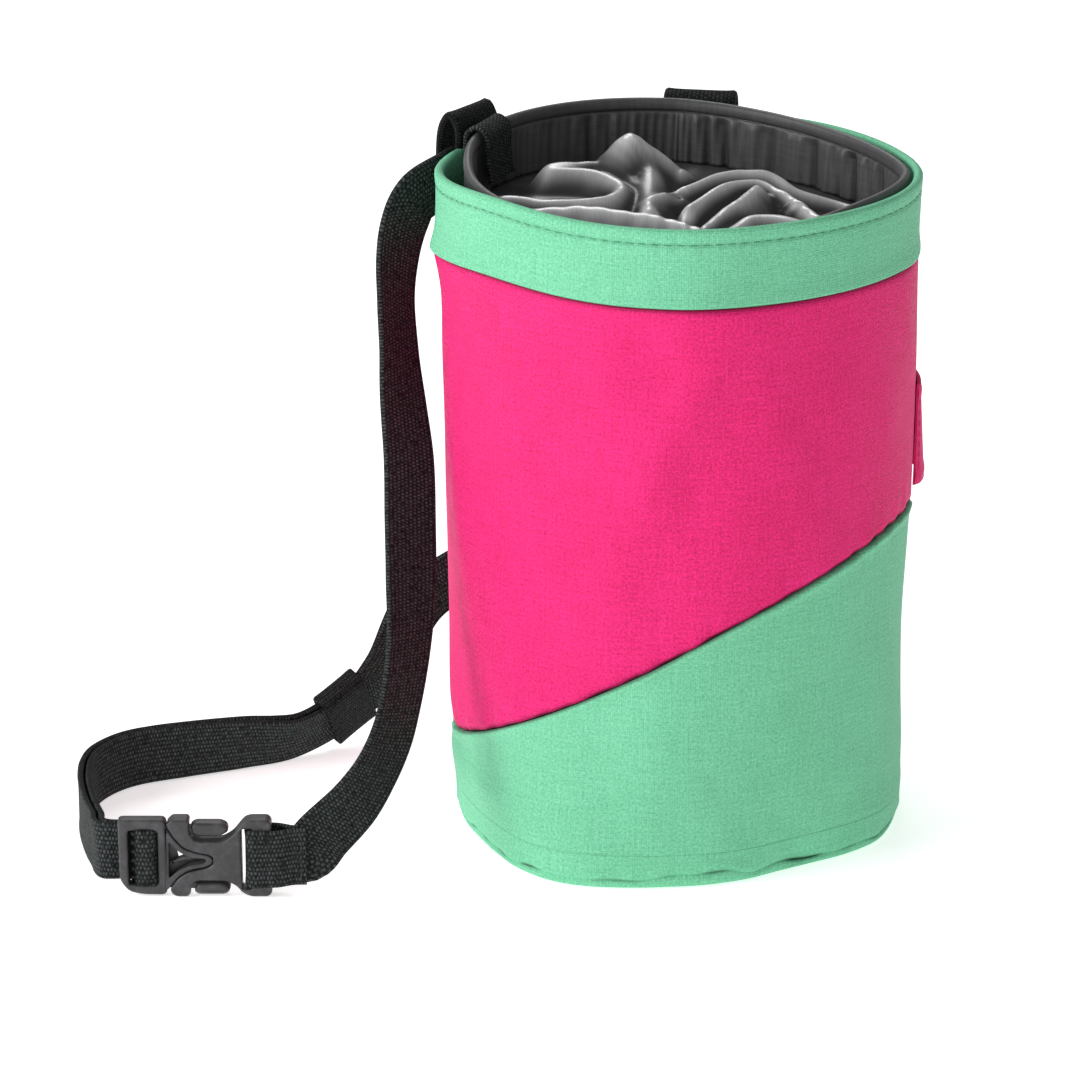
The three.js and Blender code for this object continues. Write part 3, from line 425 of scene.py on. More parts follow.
# Body panel
# The pink canvas wall between the slanting seam and the rim band. Both of its edges are tucked behind their
# neighbours, with a thin dark line of shadow there, and the soft cloth hangs in wide shallow waves.
RIM_LIFTS = [(-53, 26, 1.0), (75, 30, -0.35), (140, 35, 0.5)]
RIM_WAVE = 1.6
BAND_HEIGHT = 20.6


def rim_top(around):
    return BAG_HEIGHT + RIM_WAVE * sum(row[2] * bell(turn_between(around, row[0]), row[1])
                                       for row in RIM_LIFTS)


def body_outside(around, z, from_seam, from_band):
    pucker = 0.42 * soft_waves(around, 0, 44, 21) * np.exp(-from_seam / 5)
    tuck = -0.85 * np.exp(-(from_seam / 1.1) ** 2) - 0.8 * np.exp(-(from_band / 1.2) ** 2)
    waves = 0.4 * soft_waves(around, z, 8, 22) + 0.2 * soft_waves(around, z, 19, 23)
    waves = waves * (1 - 0.95 * bell(turn_between(around, 96), 20))
    soft_edge = np.interp(z, [60, 82, 113, 153], [-19, -17.6, -10.2, 12.7])
    waves = waves + 1.5 * np.exp(-(turn_between(around, soft_edge) / 8.5) ** 2)
    for hollow, height in ((-28, 135), (-10, 149)):
        waves = waves - 1.1 * np.exp(-(turn_between(around, hollow) / 8) ** 2 - ((z - height) / 11) ** 2)
    follow = 1.9 * bell(turn_between(around, -92), 32) * np.exp(-(from_band / 9) ** 1.4)
    return pucker + tuck + follow + waves * (1 - np.exp(-from_band / 9)) * (1 - np.exp(-from_seam / 12))


# Painted shade: an uneven dark line along the slanting seam, and another under the rim band.
def body_shade(around, from_seam, from_band):
    line = np.exp(-(from_seam / 0.6) ** 2) * (0.75 + 0.35 * soft_waves(around, 0, 33, 24))
    return np.clip(line + np.exp(-(from_band / 0.85) ** 2), 0, 1)


pink_canvas = canvas("pink_canvas", (0.52, 0.002, 0.05), (1.0, 0.028, 0.26), 0.2, yarn=0.00058)
body_piece = wall_piece("body_canvas", lambda a: slant_seam(a) + 0.15,
                        lambda a: rim_top(a) - BAND_HEIGHT - 0.3,
                        120, body_outside, pink_canvas, body_shade)
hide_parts("body_panel")

# Rim band
# A doubled band of mint canvas folded over the rim and sewn down over the pink cloth. One row of stitching
# runs 4 mm under the fold, in a shallow groove, and leaves a soft roll of cloth above it.
BAND_THICKNESS = 2.4
stitch_drop = 4.0


def flare_at(around, share):
    return 2 * bell(turn_between(around, -90), 34) * (1 - share) ** 2


def band_proud(around, drop, share):
    """How far the band's outer side stands proud, at a drop below the rim and a share of the band's
    height."""
    edge_lip = 0.55 * np.exp(-((share * BAND_HEIGHT) / 3.5) ** 2)
    groove = -0.22 * np.exp(-((drop - stitch_drop) / 0.6) ** 2)
    roll = 0.1 * np.exp(-((drop - 1.9) / 1.3) ** 2)
    pucker = 0.14 * soft_waves(around, 0, 70, 31) * np.exp(-((drop - stitch_drop) / 2.4) ** 2)
    return edge_lip + groove + roll + pucker + 0.22 * soft_waves(around, drop, 12, 32) * (1 - share * 0.6)


band_columns = 480
around = ring_columns(band_columns)[:, None]
band_top, band_low = rim_top(around), rim_top(around) - BAND_HEIGHT
half_round = BAND_THICKNESS / 2
share = np.linspace(0, 1, 44)[None, :]
z = band_low + (band_top - half_round - band_low) * share
outer = on_wall(around, z, flare_at(around, share) + band_proud(around, band_top - z, share))
turn = np.linspace(0, np.pi, 12)[None, 1:-1]
fold_out = band_proud(around, half_round + 0 * share[:, -1:], 1) * (0.5 + 0.5 * np.cos(turn))
fold = on_wall(around, band_top - half_round + half_round * np.sin(turn),
               fold_out - half_round + half_round * np.cos(turn))
back_share = np.linspace(1, 0, 16)[None, :]
inner = on_wall(around, band_low + (band_top - half_round - band_low) * back_share,
                flare_at(around, back_share) - BAND_THICKNESS)
lip_under = on_wall(around, band_low - 0.28, flare_at(around, 0) + 0.1)
band_points = np.concatenate([outer, fold, inner, lip_under], 1)
band_steps = np.linalg.norm(np.diff(band_points[0], axis=0), axis=1)
band_way = np.concatenate([[0], np.cumsum(band_steps)])
# Painted shade in the stitching's groove and on the lip under the band.
band_shade = np.zeros(band_points.shape[:2])
band_shade[:, :share.size] =0.3 * np.exp(-((band_top - z - stitch_drop) / 0.5) ** 2)
band_shade[:, -1] = 0.6
measured_row = 30
band_lengths = lengths_round(band_points[:, measured_row], band_way)
band_piece = cloth_piece("rim_band_canvas", band_points, band_lengths, mint_canvas,
                         shade=band_shade)
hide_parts("rim_band")


def thread_row(name, line, away, material, stitch=2.5, gap=0.75, thread=0.36, closed=False):
    """A row of sewn stitches along a line on cloth, each a short length of thread that dips into it at both
    ends."""
    line, away = np.asarray(line, float), np.asarray(away, float)
    if closed:
        line, away = np.vstack([line, line[:1]]), np.vstack([away, away[:1]])
    way = np.concatenate([[0], np.cumsum(np.linalg.norm(np.diff(line, axis=0), axis=1))])
    count = max(1, int(way[-1] / (stitch + gap)))
    starts = (np.arange(count) + 0.5) * way[-1] / count
    across_ring = np.linspace(-1, 1, 6)
    spots = np.clip(starts[:, None] + across_ring[None, :] * stitch / 2, 0, way[-1])
    place = np.stack([np.interp(spots, way, line[:, n]) for n in range(3)], -1)
    up = np.stack([np.interp(spots, way, away[:, n]) for n in range(3)], -1)
    up /= np.linalg.norm(up, axis=-1, keepdims=True)
    along = np.gradient(place, axis=1)
    along /= np.linalg.norm(along, axis=-1, keepdims=True) + 1e-9
    side = np.cross(along, up)
    rise = np.sqrt(np.clip(1 - across_ring ** 2, 0, 1))[None, :, None]
    centre = place + up * (thread * 0.5 * rise - thread * 0.4)
    radius = thread / 2 * (0.35 + 0.65 * rise)
    turns = np.arange(6) * np.pi / 3
    spokes = side[:, :, None] * np.cos(turns)[:, None] + up[:, :, None] * np.sin(turns)[:, None]
    tube = centre[:, :, None] + radius[:, :, None] * spokes
    faces = []
    for start in range(0, count * 36, 36):
        for ring in range(5):
            for k in range(6):
                low, next_low = start + ring * 6 + k, start + ring * 6 + (k + 1) % 6
                faces.append((low, next_low, next_low + 6, low + 6))
        faces.append([start + k for k in range(5, -1, -1)])
        faces.append([start + 30 + k for k in range(6)])
    mesh = bpy.data.meshes.new(name)
    mesh.from_pydata((tube.reshape(-1, 3) * MM).tolist(), [], faces)
    mesh.polygons.foreach_set("use_smooth", [True] * len(mesh.polygons))
    mesh.materials.append(material)
    return place_piece(name, mesh)


# Painted shade: darker bands stand in for the grooves between the thread's twisted turns.
thread_twist = effect_group("thread_twist", {}, ["Tone"])
twist_wave = node(thread_twist, "TexWave",
                  {"Vector": node(thread_twist, "TexCoord").outputs["Object"], "Scale": 900,
                                            "Distortion": 2}, wave_type="BANDS")
thread_twist.links.new(twist_wave.outputs["Fac"], thread_twist.nodes.new("NodeGroupOutput").inputs["Tone"])


def sewing_thread(name, colour):
    """Twisted polyester thread: fine turns of twist along it, painted as bands of shade, and a faint shine.
    """
    material, tree, surface = new_material(name)
    twist = node(tree, "Group", node_tree=thread_twist)
    tone = node(tree, "Mix",
                {0: twist.outputs["Tone"], 6: (*[c * 0.75 for c in colour], 1), 7: (*colour, 1)},
                data_type="RGBA")
    tree.links.new(tone.outputs[2], surface.inputs["Base Color"])
    surface.inputs["Roughness"].default_value = 0.6
    return material


mint_thread = sewing_thread("mint_thread", (0.07, 0.34, 0.19))
stitch_around = ring_columns(720)
stitch_z = rim_top(stitch_around) - stitch_drop
stitch_share = 1 - stitch_drop / BAND_HEIGHT
stitch_out = flare_at(stitch_around, stitch_share) + band_proud(stitch_around, stitch_drop, stitch_share)
stitch_line = on_wall(stitch_around, stitch_z, stitch_out)
stitch_away = on_wall(stitch_around, stitch_z, stitch_out + 1) - stitch_line
thread_row("rim_stitching", stitch_line, stitch_away, mint_thread, closed=True)

# Twist ring
# A stiff hoop of dark grey lining cloth that stands inside the rim, turned by hand to close the bag. Its
# top is a hem with a sewn line, and below that the cloth is gathered into upright ruffles, deepest at the
# back right.
RING_HEIGHT = 17
RING_THICKNESS = 1.8
RING_RUFFLE = 0.8
RING_PLAN = {"left": 0.905, "front": 0.89, "back": 0.925}
hem_height = 3.0


def ring_plan(around, z):
    """The ring's outer side in plan, which is the same at every height."""
    right = bag_plan(np.array(90.0), np.array(BAG_HEIGHT))[0] - BAND_THICKNESS - CLEARANCE - RING_RUFFLE
    return rounded_plan(around, RING_PLAN["left"] * HALF_WIDTH, right, RING_PLAN["front"] * HALF_DEPTH,
                        RING_PLAN["back"] * HALF_DEPTH, 2.05, 1.62)


def ring_top(around):
    point = ring_plan(around, 0)
    return BAG_HEIGHT + 1.8 + 3 * point[..., 1] / HALF_DEPTH - 2.6 * point[..., 0] / HALF_WIDTH


def ruffle(around, below):
    """The gathers under the hem, as a distance off the ring's plain hoop. below is a share of the ring's
    height."""
    strength = 0.35 + 0.65 * bell(turn_between(around, 135), 60)
    turn = np.radians(around)
    wave = np.sin(24 * turn + 2 * np.sin(3 * turn) + 0.9 * below * np.sin(5 * turn))
    fine = np.sin(61 * turn + 2.4 * np.sin(4 * turn) + 1.6 * below) * (0.5 + 0.5 * np.sin(9 * turn + 1))
    finer = np.sin(127 * turn + 3 * np.sin(6 * turn) - 2 * below)
    under_hem = np.clip((below * RING_HEIGHT - hem_height) / 2.2, 0, 1)
    return (0.45 * strength * wave + 0.5 * fine * (0.35 + strength) + 0.16 * finer) * under_hem


def ring_dip(around):
    """How far the visible top edge sinks along the front, where the ring leans down behind the rim."""
    turn = turn_between(around, 0)
    return 2.8 / ((1 + np.exp(-(turn + 88) / 4.5)) * (1 + np.exp((turn - 40) / 6)))


ring_count = 960
around = ring_columns(ring_count)[:, None]
below = np.concatenate([np.linspace(0.02, 0.16, 10), np.linspace(0.175, 0.21, 6),
                        np.linspace(0.24, 1, 22)])[None, :]
top = ring_top(around) - ring_dip(around)
ring_z = top - below * (RING_HEIGHT - ring_dip(around))


def hem_swell(below):
    depth = below * RING_HEIGHT
    swell = 0.3 * np.clip(1 - ((depth - 1.5) / 1.7) ** 2, 0, 1)
    return swell - 0.4 * np.exp(-((depth - hem_height) / 0.4) ** 2)


outside = off_plan(ring_plan, around, ring_z, ruffle(around, below) * 0.7 + hem_swell(below))
inside = off_plan(ring_plan, around, ring_z, ruffle(around, below) - RING_THICKNESS - hem_swell(below))
crown_turn = np.linspace(0, np.pi, 7)[None, 1:-1]
crown = off_plan(ring_plan, around, top - 0.02 * RING_HEIGHT + 0.75 * np.sin(crown_turn),
                 RING_THICKNESS / 2 * (np.cos(crown_turn) - 1) + 0 * around)
ring_points = np.concatenate([outside[:, ::-1], crown, inside], 1)
ring_way = np.concatenate([[0], np.cumsum(np.linalg.norm(np.diff(ring_points[0], axis=0), axis=1))])
# Painted shade: the ruffles' hollows on the inside and the hem's groove are darkened.
valley_shade = np.clip(ruffle(around, below) / RING_RUFFLE, 0, 1) * 0.75
line = 0.85 * np.exp(-((below * RING_HEIGHT - hem_height) / 0.34) ** 2)
line = np.broadcast_to(line, valley_shade.shape)
ring_shade = np.concatenate([line[:, ::-1], np.zeros((ring_count, 5)), np.clip(valley_shade + line, 0, 1)], 1)


def lining(name, deep, light, roughness):
    """Smooth woven lining: fine upright yarns, a dull shine, and painted shade in creases and ruffles."""
    material, tree, surface = new_material(name)
    lengths = node(tree, "UVMap", uv_map="cloth").outputs[0]
    weave = node(tree, "Group", node_tree=canvas_weave)
    tree.links.new(lengths, weave.inputs["Cloth"])
    weave.inputs["Yarn"].default_value = 0.0004
    weave.inputs["Slub"].default_value = 0.5
    crease_shade = node(tree, "Attribute", attribute_name="shade").outputs["Fac"]
    colour = node(tree, "Mix", {0: weave.outputs["Tone"], 6: (*deep, 1), 7: (*light, 1)}, data_type="RGBA",
                  clamp_factor=True)
    # Painted shade: creases and hollows go towards near black.
    crease_shaded = node(tree, "Mix", {0: crease_shade, 6: colour.outputs[2], 7: (0.004, 0.004, 0.005, 1)},
                   data_type="RGBA")
    colour_and_relief(tree, surface, crease_shaded, weave.outputs["Height"], 0.35, 0.0001)
    surface.inputs["Roughness"].default_value = roughness
    surface.inputs["Sheen Weight"].default_value = 0.12
    surface.inputs["Sheen Roughness"].default_value = 0.4
    return material


grey_lining = lining("grey_lining", (0.02, 0.02, 0.021), (0.095, 0.095, 0.098), 0.42)
measured_row = 20
ring_lengths = lengths_round(ring_points[:, measured_row], ring_way)
ring_piece = cloth_piece("twist_ring_cloth", ring_points, ring_lengths, grey_lining,
                         shade=ring_shade)
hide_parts("twist_ring")

# Closure cloth
# Thin grey satin joined to the ring's lower edge and to the wall, crumpled across the mouth by the twist.
# Each table is one fold line as the cloth lies, in millimetres: x to the right, y to the back, z up.
CLOSURE_FOLDS = [
    [(-19.5, 24, 174.7), (-16.0, 23, 178.8), (-12.9, 22, 182.6)],
    [(-12.9, 22, 182.6), (-6.3, 19, 179.3), (0.1, 16, 174.7)],
    [(-12.9, 22, 182.6), (-8.2, 16, 177.1), (-7.8, 9, 174.8), (-7.9, 2, 172.8), (-7.5, -3, 172.0)],
    [(-34.4, 19, 175.5), (-26.2, 20, 175.7), (-19.5, 20, 175.7), (-15.1, 15, 174.6), (-9.7, 4, 172.3),
     (-8.2, -10, 171.2)],
    [(-33.9, 17, 175.2), (-23.6, 14, 175.1), (-17.8, 9, 174.5), (-15.2, 3, 173.9), (-18.5, -4, 173.1),
     (-27.4, -8, 172.8), (-36.8, -8, 173.3), (-45.2, -6, 173.9), (-50.9, -4, 173.6)],
    [(-47.2, -14, 172.5), (-39.9, -18, 173.3), (-27.5, -20, 174.4), (-17.5, -24, 174.4), (-7.8, -28, 174.2),
     (3.9, -34, 172.4)],
    [(-8.0, -4, 172.5), (3.0, 6, 173.1), (11.5, 16, 174.0), (20.4, 20, 173.8), (25.8, 20, 172.7),
     (30.5, 17, 169.7), (40.8, 15, 166.6), (47.2, 12, 166.1)],
    [(2.1, -8, 171.4), (11.1, 4, 173.7), (18.6, 9, 173.7), (22.6, 9, 173.2), (29.6, 1, 171.2),
     (36.0, -8, 168.7)],
    [(5.4, -26, 170.2), (11.2, -15, 172.3), (15.9, -8, 173.6), (20.2, 2, 174.2)],
    [(11.2, -30, 170.5), (17.4, -22, 172.0), (22.6, -21, 172.3), (27.2, -22, 172.0), (31.8, -23, 171.2),
     (38.1, -22, 170.4)],
]
# For each fold line, how fast the cloth falls away beside it and how far, both in millimetres.
FOLD_FALLS = [(9, 26), (9, 26), (8, 24), (4.6, 17), (4.4, 16), (5.2, 17), (4.4, 18), (3.8, 17), (4.2, 16),
              (5, 15)]


def fold_height(x, y, edge, edge_height):
    """The crumpled cloth's height: every fold line is a rounded ridge, the highest ridge shows at each
    place, and the cloth runs down to the ring's lower edge. edge is the distance to it."""
    soft = 0.35
    floor_height = edge_height + 2.0 * (1 - np.exp(-(edge / 14) ** 2))
    total = np.exp((floor_height - 165) / soft)
    for fold, (reach, fall) in zip(CLOSURE_FOLDS, FOLD_FALLS):
        rows = np.array(fold)
        ends = np.vstack([2 * rows[:1] - rows[1:2], rows, 2 * rows[-1:] - rows[-2:-1]])
        share = np.linspace(0, 1, 9)[:-1, None]
        line = []
        for a, b, c, d in zip(ends[:-3], ends[1:-2], ends[2:-1], ends[3:]):
            line.append(b + 0.5 * share * (c - a + share * (2 * a - 5 * b + 4 * c - d
                                                            + share * (3 * (b - c) + d - a))))
        line = np.vstack([*line, rows[-1:]])
        best = np.full(np.shape(x), 1e9)
        height = np.zeros(np.shape(x))
        for start, end in zip(line[:-1], line[1:]):
            way = end[:2] - start[:2]
            share_here = np.clip(((x - start[0]) * way[0] + (y - start[1]) * way[1]) / (way @ way), 0, 1)
            away = (x - start[0] - share_here * way[0]) ** 2 + (y - start[1] - share_here * way[1]) ** 2
            nearer = away < best
            best = np.where(nearer, away, best)
            height = np.where(nearer, start[2] + share_here * (end[2] - start[2]), height)
        height = height - fall * (1 - 1 / np.sqrt(1 + best / reach ** 2))
        total = total + np.exp((height - 165) / soft)
    height = 165 + soft * np.log(total)
    return edge_height + (height - edge_height) * (1 - np.exp(-(edge / 3.5) ** 2))


closure_columns = 360
around = ring_columns(closure_columns)[:, None]
inner_edge = off_plan(ring_plan, around, 0, -RING_THICKNESS - CLEARANCE - RING_RUFFLE)
ring_low = ring_top(around) - RING_HEIGHT - CLEARANCE
share = np.concatenate([[0.006], np.linspace(0.02, 1, 86)])[None, :]
x, y = inner_edge[..., 0] * share, inner_edge[..., 1] * share
edge = np.linalg.norm(inner_edge[..., :2], axis=-1) * (1 - share)
cloth_z = fold_height(x, y, edge, ring_low)
for _ in range(4):
    cloth_z = (np.roll(cloth_z, 1, 0) + 2 * cloth_z + np.roll(cloth_z, -1, 0)) / 4
    cloth_z[:, 1:-1] = (cloth_z[:, :-2] + 2 * cloth_z[:, 1:-1] + cloth_z[:, 2:]) / 4
own = share[:, :6] / share[0, 6]
cloth_z[:, :6] = cloth_z[:, :6].mean(0) * (1 - own) + cloth_z[:, :6] * own
turn = np.radians(around)
gathers = 0.3 * np.sin(42 * turn + 3 * np.sin(5 * turn))
gathers = gathers + 0.5 * np.sin(17 * turn + 2 * np.sin(4 * turn) + 3 * share)
cloth_z = cloth_z + gathers * share ** 3 * (1 - share) * 4
wall_edge = on_wall(around, ring_low, -BAND_THICKNESS - CLEARANCE)
skirt = []
for step in np.linspace(0, 1, 7)[1:]:
    place = inner_edge + (wall_edge - inner_edge) * step
    place[..., 2] = ring_low
    skirt.append(place)
cloth_points = np.concatenate([np.stack([x, y, cloth_z], -1), *skirt], 1)
cloth_lengths = np.concatenate([cloth_points, cloth_points[:1]])[..., :2] * MM
# How high each place lies over the cloth round it, painted as light on the folds' backs and shade in
# the hollows.
spots = np.stack([x[::4, ::3], y[::4, ::3]], -1).reshape(-1, 2)
spot_heights = cloth_z[::4, ::3].reshape(-1)
spot_areas = np.broadcast_to(share[:, ::3], x[::4, ::3].shape).reshape(-1)
fold_light_and_shade = np.zeros(cloth_z.shape)
for column in range(closure_columns):
    away = (x[column][:, None] - spots[:, 0]) ** 2 + (y[column][:, None] - spots[:, 1]) ** 2
    pull = np.exp(-away / (2 * 2.6 ** 2)) * spot_areas
    fold_light_and_shade[column] = cloth_z[column] - pull @ spot_heights / pull.sum(1)
fold_light_and_shade = np.pad(np.clip(0.32 + 0.52 * fold_light_and_shade, 0, 1), ((0, 0), (0, len(skirt))))


def satin(name, deep, light):
    """Thin polyester satin: smooth floating yarns in fine streaks, with painted highlights along the folds'
    backs and painted shade in the hollows.
    """
    material, tree, surface = new_material(name)
    lengths = node(tree, "UVMap", uv_map="cloth").outputs[0]
    place = node(tree, "VectorMath", {0: lengths, 1: (2200, 260, 1)}, operation="MULTIPLY")
    yarn = node(tree, "TexNoise", {"Vector": place.outputs[0], "Scale": 1, "Detail": 2}).outputs[0]
    painted_fold_light = node(tree, "Attribute", attribute_name="shade").outputs["Fac"]
    # Painted light and shade: the tone follows the folds' height over the cloth round them.
    tone = maths(tree, "MULTIPLY", maths(tree, "POWER", painted_fold_light, 1.7),
                 maths(tree, "MULTIPLY_ADD", yarn, 0.5, 0.75))
    colour = node(tree, "Mix", {0: tone, 6: (*deep, 1), 7: (*light, 1)}, data_type="RGBA",
                  clamp_factor=True)
    colour_and_relief(tree, surface, colour, yarn, 0.1, 0.0001)
    surface.inputs["Metallic"].default_value = 0.25
    surface.inputs["Roughness"].default_value = 0.36
    surface.inputs["Specular IOR Level"].default_value = 0.6
    surface.inputs["Sheen Weight"].default_value = 0.1
    surface.inputs["Sheen Roughness"].default_value = 0.3
    return material


grey_satin = satin("grey_satin", (0.022, 0.022, 0.023), (0.55, 0.55, 0.56))
closure_piece = cloth_piece("closure_satin", cloth_points, cloth_lengths, grey_satin,
                            wrap=(True, False), shade=fold_light_and_shade)
closure_piece.modifiers.new("thickness", "SOLIDIFY").thickness = 0.3 * MM
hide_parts("closure")

# Belt loops and ring tab
# Black ribbed webbing. Two loops come out of the rim's fold, arch over and are sewn down outside for the
# belt, and a short tab is folded over the ring's top edge at the left, for the fingers.
LOOP_WIDTH = 20


def webbing_ribs_group():
    """Woven webbing: ribs along its length made of short raised dashes, every other rib half a dash
    behind."""
    group = effect_group("webbing_ribs", {"Cloth": None, "Rib": 0.00125, "Dash": 0.0009},
                         ["Height", "Tone"])
    given = group.nodes.new("NodeGroupInput")
    result = group.nodes.new("NodeGroupOutput")
    lengths = node(group, "SeparateXYZ", {0: given.outputs["Cloth"]})
    rib = maths(group, "DIVIDE", lengths.outputs[0], given.outputs["Rib"])
    odd = maths(group, "MULTIPLY", maths(group, "MODULO", maths(group, "FLOOR", rib), 2), 0.5)
    step = maths(group, "ADD", maths(group, "DIVIDE", lengths.outputs[1], given.outputs["Dash"]), odd)
    rounds = [maths(group, "ABSOLUTE", maths(group, "SINE", maths(group, "MULTIPLY", turn, math.pi)))
              for turn in (rib, step)]
    powers = [maths(group, "POWER", bulge, power) for bulge, power in zip(rounds, (0.6, 0.8))]
    height = maths(group, "MULTIPLY", *powers)
    place = node(group, "TexCoord").outputs["Object"]
    # Painted highlight: the tone rises with the dashes' height, by an uneven amount from a fine noise.
    dash_highlight_noise = node(group, "TexNoise", {"Vector": place, "Scale": 1100, "Detail": 2})
    uneven = maths(group, "MULTIPLY_ADD", dash_highlight_noise.outputs[0], 4.2, -1.3)
    group.links.new(height, result.inputs["Height"])
    group.links.new(maths(group, "MULTIPLY", maths(group, "POWER", height, 1.5), uneven),
                    result.inputs["Tone"])
    return group


webbing_ribs = webbing_ribs_group()


def webbing(name, deep, light, rib, dash):
    """Black webbing with the ribs' relief, and painted highlights that lighten the raised yarns unevenly.
    rib and dash are in metres."""
    material, tree, surface = new_material(name)
    ribs = node(tree, "Group", node_tree=webbing_ribs)
    tree.links.new(node(tree, "UVMap", uv_map="cloth").outputs[0], ribs.inputs["Cloth"])
    ribs.inputs["Rib"].default_value = rib
    ribs.inputs["Dash"].default_value = dash
    colour = node(tree, "Mix", {0: ribs.outputs["Tone"], 6: (*deep, 1), 7: (*light, 1)}, data_type="RGBA",
                  clamp_factor=True)
    colour_and_relief(tree, surface, colour, ribs.outputs["Height"], 0.8, 0.0003)
    surface.inputs["Roughness"].default_value = 0.7
    surface.inputs["Specular IOR Level"].default_value = 0.15
    return material


black_webbing = webbing("black_webbing", (0.004, 0.0048, 0.0048), (0.066, 0.076, 0.076), 0.00125, 0.0009)
loop_webbing = webbing("loop_webbing", (0.002, 0.0022, 0.0022), (0.03, 0.034, 0.034), 0.0011, 0.0008)


def smooth_line(stops, at):
    """Points of the smooth line through stops, in centripetal steps, at stop numbers that may be broken."""
    stops = np.asarray(stops, float)
    last = len(stops) - 1
    first = np.minimum(np.floor(at).astype(int), last - 1)
    share = (at - first)[:, None]
    ends = np.vstack([2 * stops[:1] - stops[1:2], stops, 2 * stops[-1:] - stops[-2:-1]])
    a, b, c, d = (ends[first + n] for n in range(4))
    steps = [np.sqrt(np.linalg.norm(q - p, axis=1, keepdims=True)) for p, q in ((a, b), (b, c), (c, d))]
    middle = np.where(steps[1] < 1e-4, 1, steps[1])
    before = np.where(steps[0] < 1e-4, middle, steps[0])
    after = np.where(steps[2] < 1e-4, middle, steps[2])
    slope_b = ((b - a) / before - (c - a) / (before + middle) + (c - b) / middle) * middle
    slope_c = ((c - b) / middle - (d - b) / (middle + after) + (d - c) / after) * middle
    square, cube = share ** 2, share ** 3
    return (b + slope_b * share + (3 * (c - b) - 2 * slope_b - slope_c) * square
            + (2 * (b - c) + slope_b + slope_c) * cube)


def strap_frame(places, ways, at):
    """A strap's middle, the way its width points and the way out of its face, at stop numbers."""
    small = 1e-3
    last = len(places) - 1
    ahead, behind = np.minimum(at + small, last), np.maximum(at - small, 0)
    along = smooth_line(places, ahead) - smooth_line(places, behind)
    along /= np.linalg.norm(along, axis=1, keepdims=True)
    across = smooth_line(ways, at)
    across = across - along * np.sum(across * along, axis=1, keepdims=True)
    across /= np.linalg.norm(across, axis=1, keepdims=True)
    return smooth_line(places, at), across, np.cross(along, across)


def even_steps(places, step):
    """Stop numbers that are a step of length apart along the smooth line."""
    fine = np.linspace(0, len(places) - 1, (len(places) - 1) * 24 + 1)
    points = smooth_line(places, fine)
    way = np.concatenate([[0], np.cumsum(np.linalg.norm(np.diff(points, axis=0), axis=1))])
    count = max(8, int(way[-1] / step))
    spots = np.linspace(0, way[-1], count + 1)
    return np.interp(spots, way, fine), spots


def strap_piece(name, places, ways, width, thickness, material, step):
    """A strap of webbing along its stops, with a round rolled edge at each side."""
    at, spots = even_steps(places, step)
    middle, across, out = strap_frame(places, ways, at)
    half, edge = width / 2, thickness / 2
    flat = np.linspace(-1, 1, 11)
    turns = np.linspace(0, np.pi, 5)[1:-1]
    swell = 0.12 * thickness * np.abs(flat) ** 6
    side_x = (half - edge) + edge * np.sin(turns)
    side_y = edge * 1.05 * np.cos(turns)
    xs = np.concatenate([flat * (half - edge), side_x, -flat * (half - edge), -side_x])
    ys = np.concatenate([edge + swell - 0.06 * thickness, side_y, -(edge + swell - 0.06 * thickness),
                         -side_y])
    points = middle[:, None] + across[:, None] * xs[None, :, None] + out[:, None] * ys[None, :, None]
    u = np.concatenate([xs, xs[:1]]) + half
    lengths = np.stack(np.broadcast_arrays(u[None, :], spots[:, None]), -1) * MM
    return cloth_piece(name, points, lengths, material, wrap=(False, True), ends=True)


def loop_stops(around, above_rim):
    half, slack, drop = 0.9, 4, 40
    rim = float(rim_top(np.array(float(around))))
    rows = [(-BAND_THICKNESS / 2, rim - 1.5), (-BAND_THICKNESS / 2, rim + above_rim * 0.55),
            (slack * 0.3, rim + above_rim - half), (slack * 0.9, rim + above_rim * 0.6),
            (slack + half, rim - drop * 0.1), (slack + half, rim - drop * 0.64),
            (slack * 0.6 + half, rim - drop * 0.78), (CLEARANCE + half, rim - drop * 0.89),
            (CLEARANCE + half, rim - drop)]
    low = on_wall(around, rim, 0)
    outward = on_wall(around, rim, 1) - low
    across = np.array([-outward[1], outward[0], 0])
    places = []
    for out, z in rows:
        place = on_wall(around, min(z, rim), 0) + outward * out
        place[2] = z
        places.append(place)
    return np.array(places), np.tile(across, (len(rows), 1)), outward


black_thread = sewing_thread("black_thread", (0.035, 0.035, 0.038))
for side, loop_around, above_rim in (("left", -120, 9.5), ("right", 172, 5.2)):
    places, ways, outward = loop_stops(loop_around, above_rim)
    loop_piece = strap_piece("belt_loop_" + side + "_webbing", places, ways, LOOP_WIDTH, 1.8, loop_webbing,
                             step=0.8)
    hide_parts("belt_loop_" + side)
    foot = places[-1]
    across = ways[0]
    box = [(-7.5, 1.5), (7.5, 1.5), (7.5, 6.5), (-7.5, 6.5), (-7.5, 1.5), (7.5, 6.5)]
    sewn = np.array([foot + across * x + np.array([0, 0, z]) + outward * 0.95 for x, z in box])
    fine = np.linspace(0, len(sewn) - 1, 80)
    sewn = np.stack([np.interp(fine, np.arange(len(sewn)), sewn[:, n]) for n in range(3)], -1)
    thread_row("loop_" + side + "_stitching", sewn, np.tile(outward, (80, 1)), black_thread,
               stitch=1.9, gap=0.5)

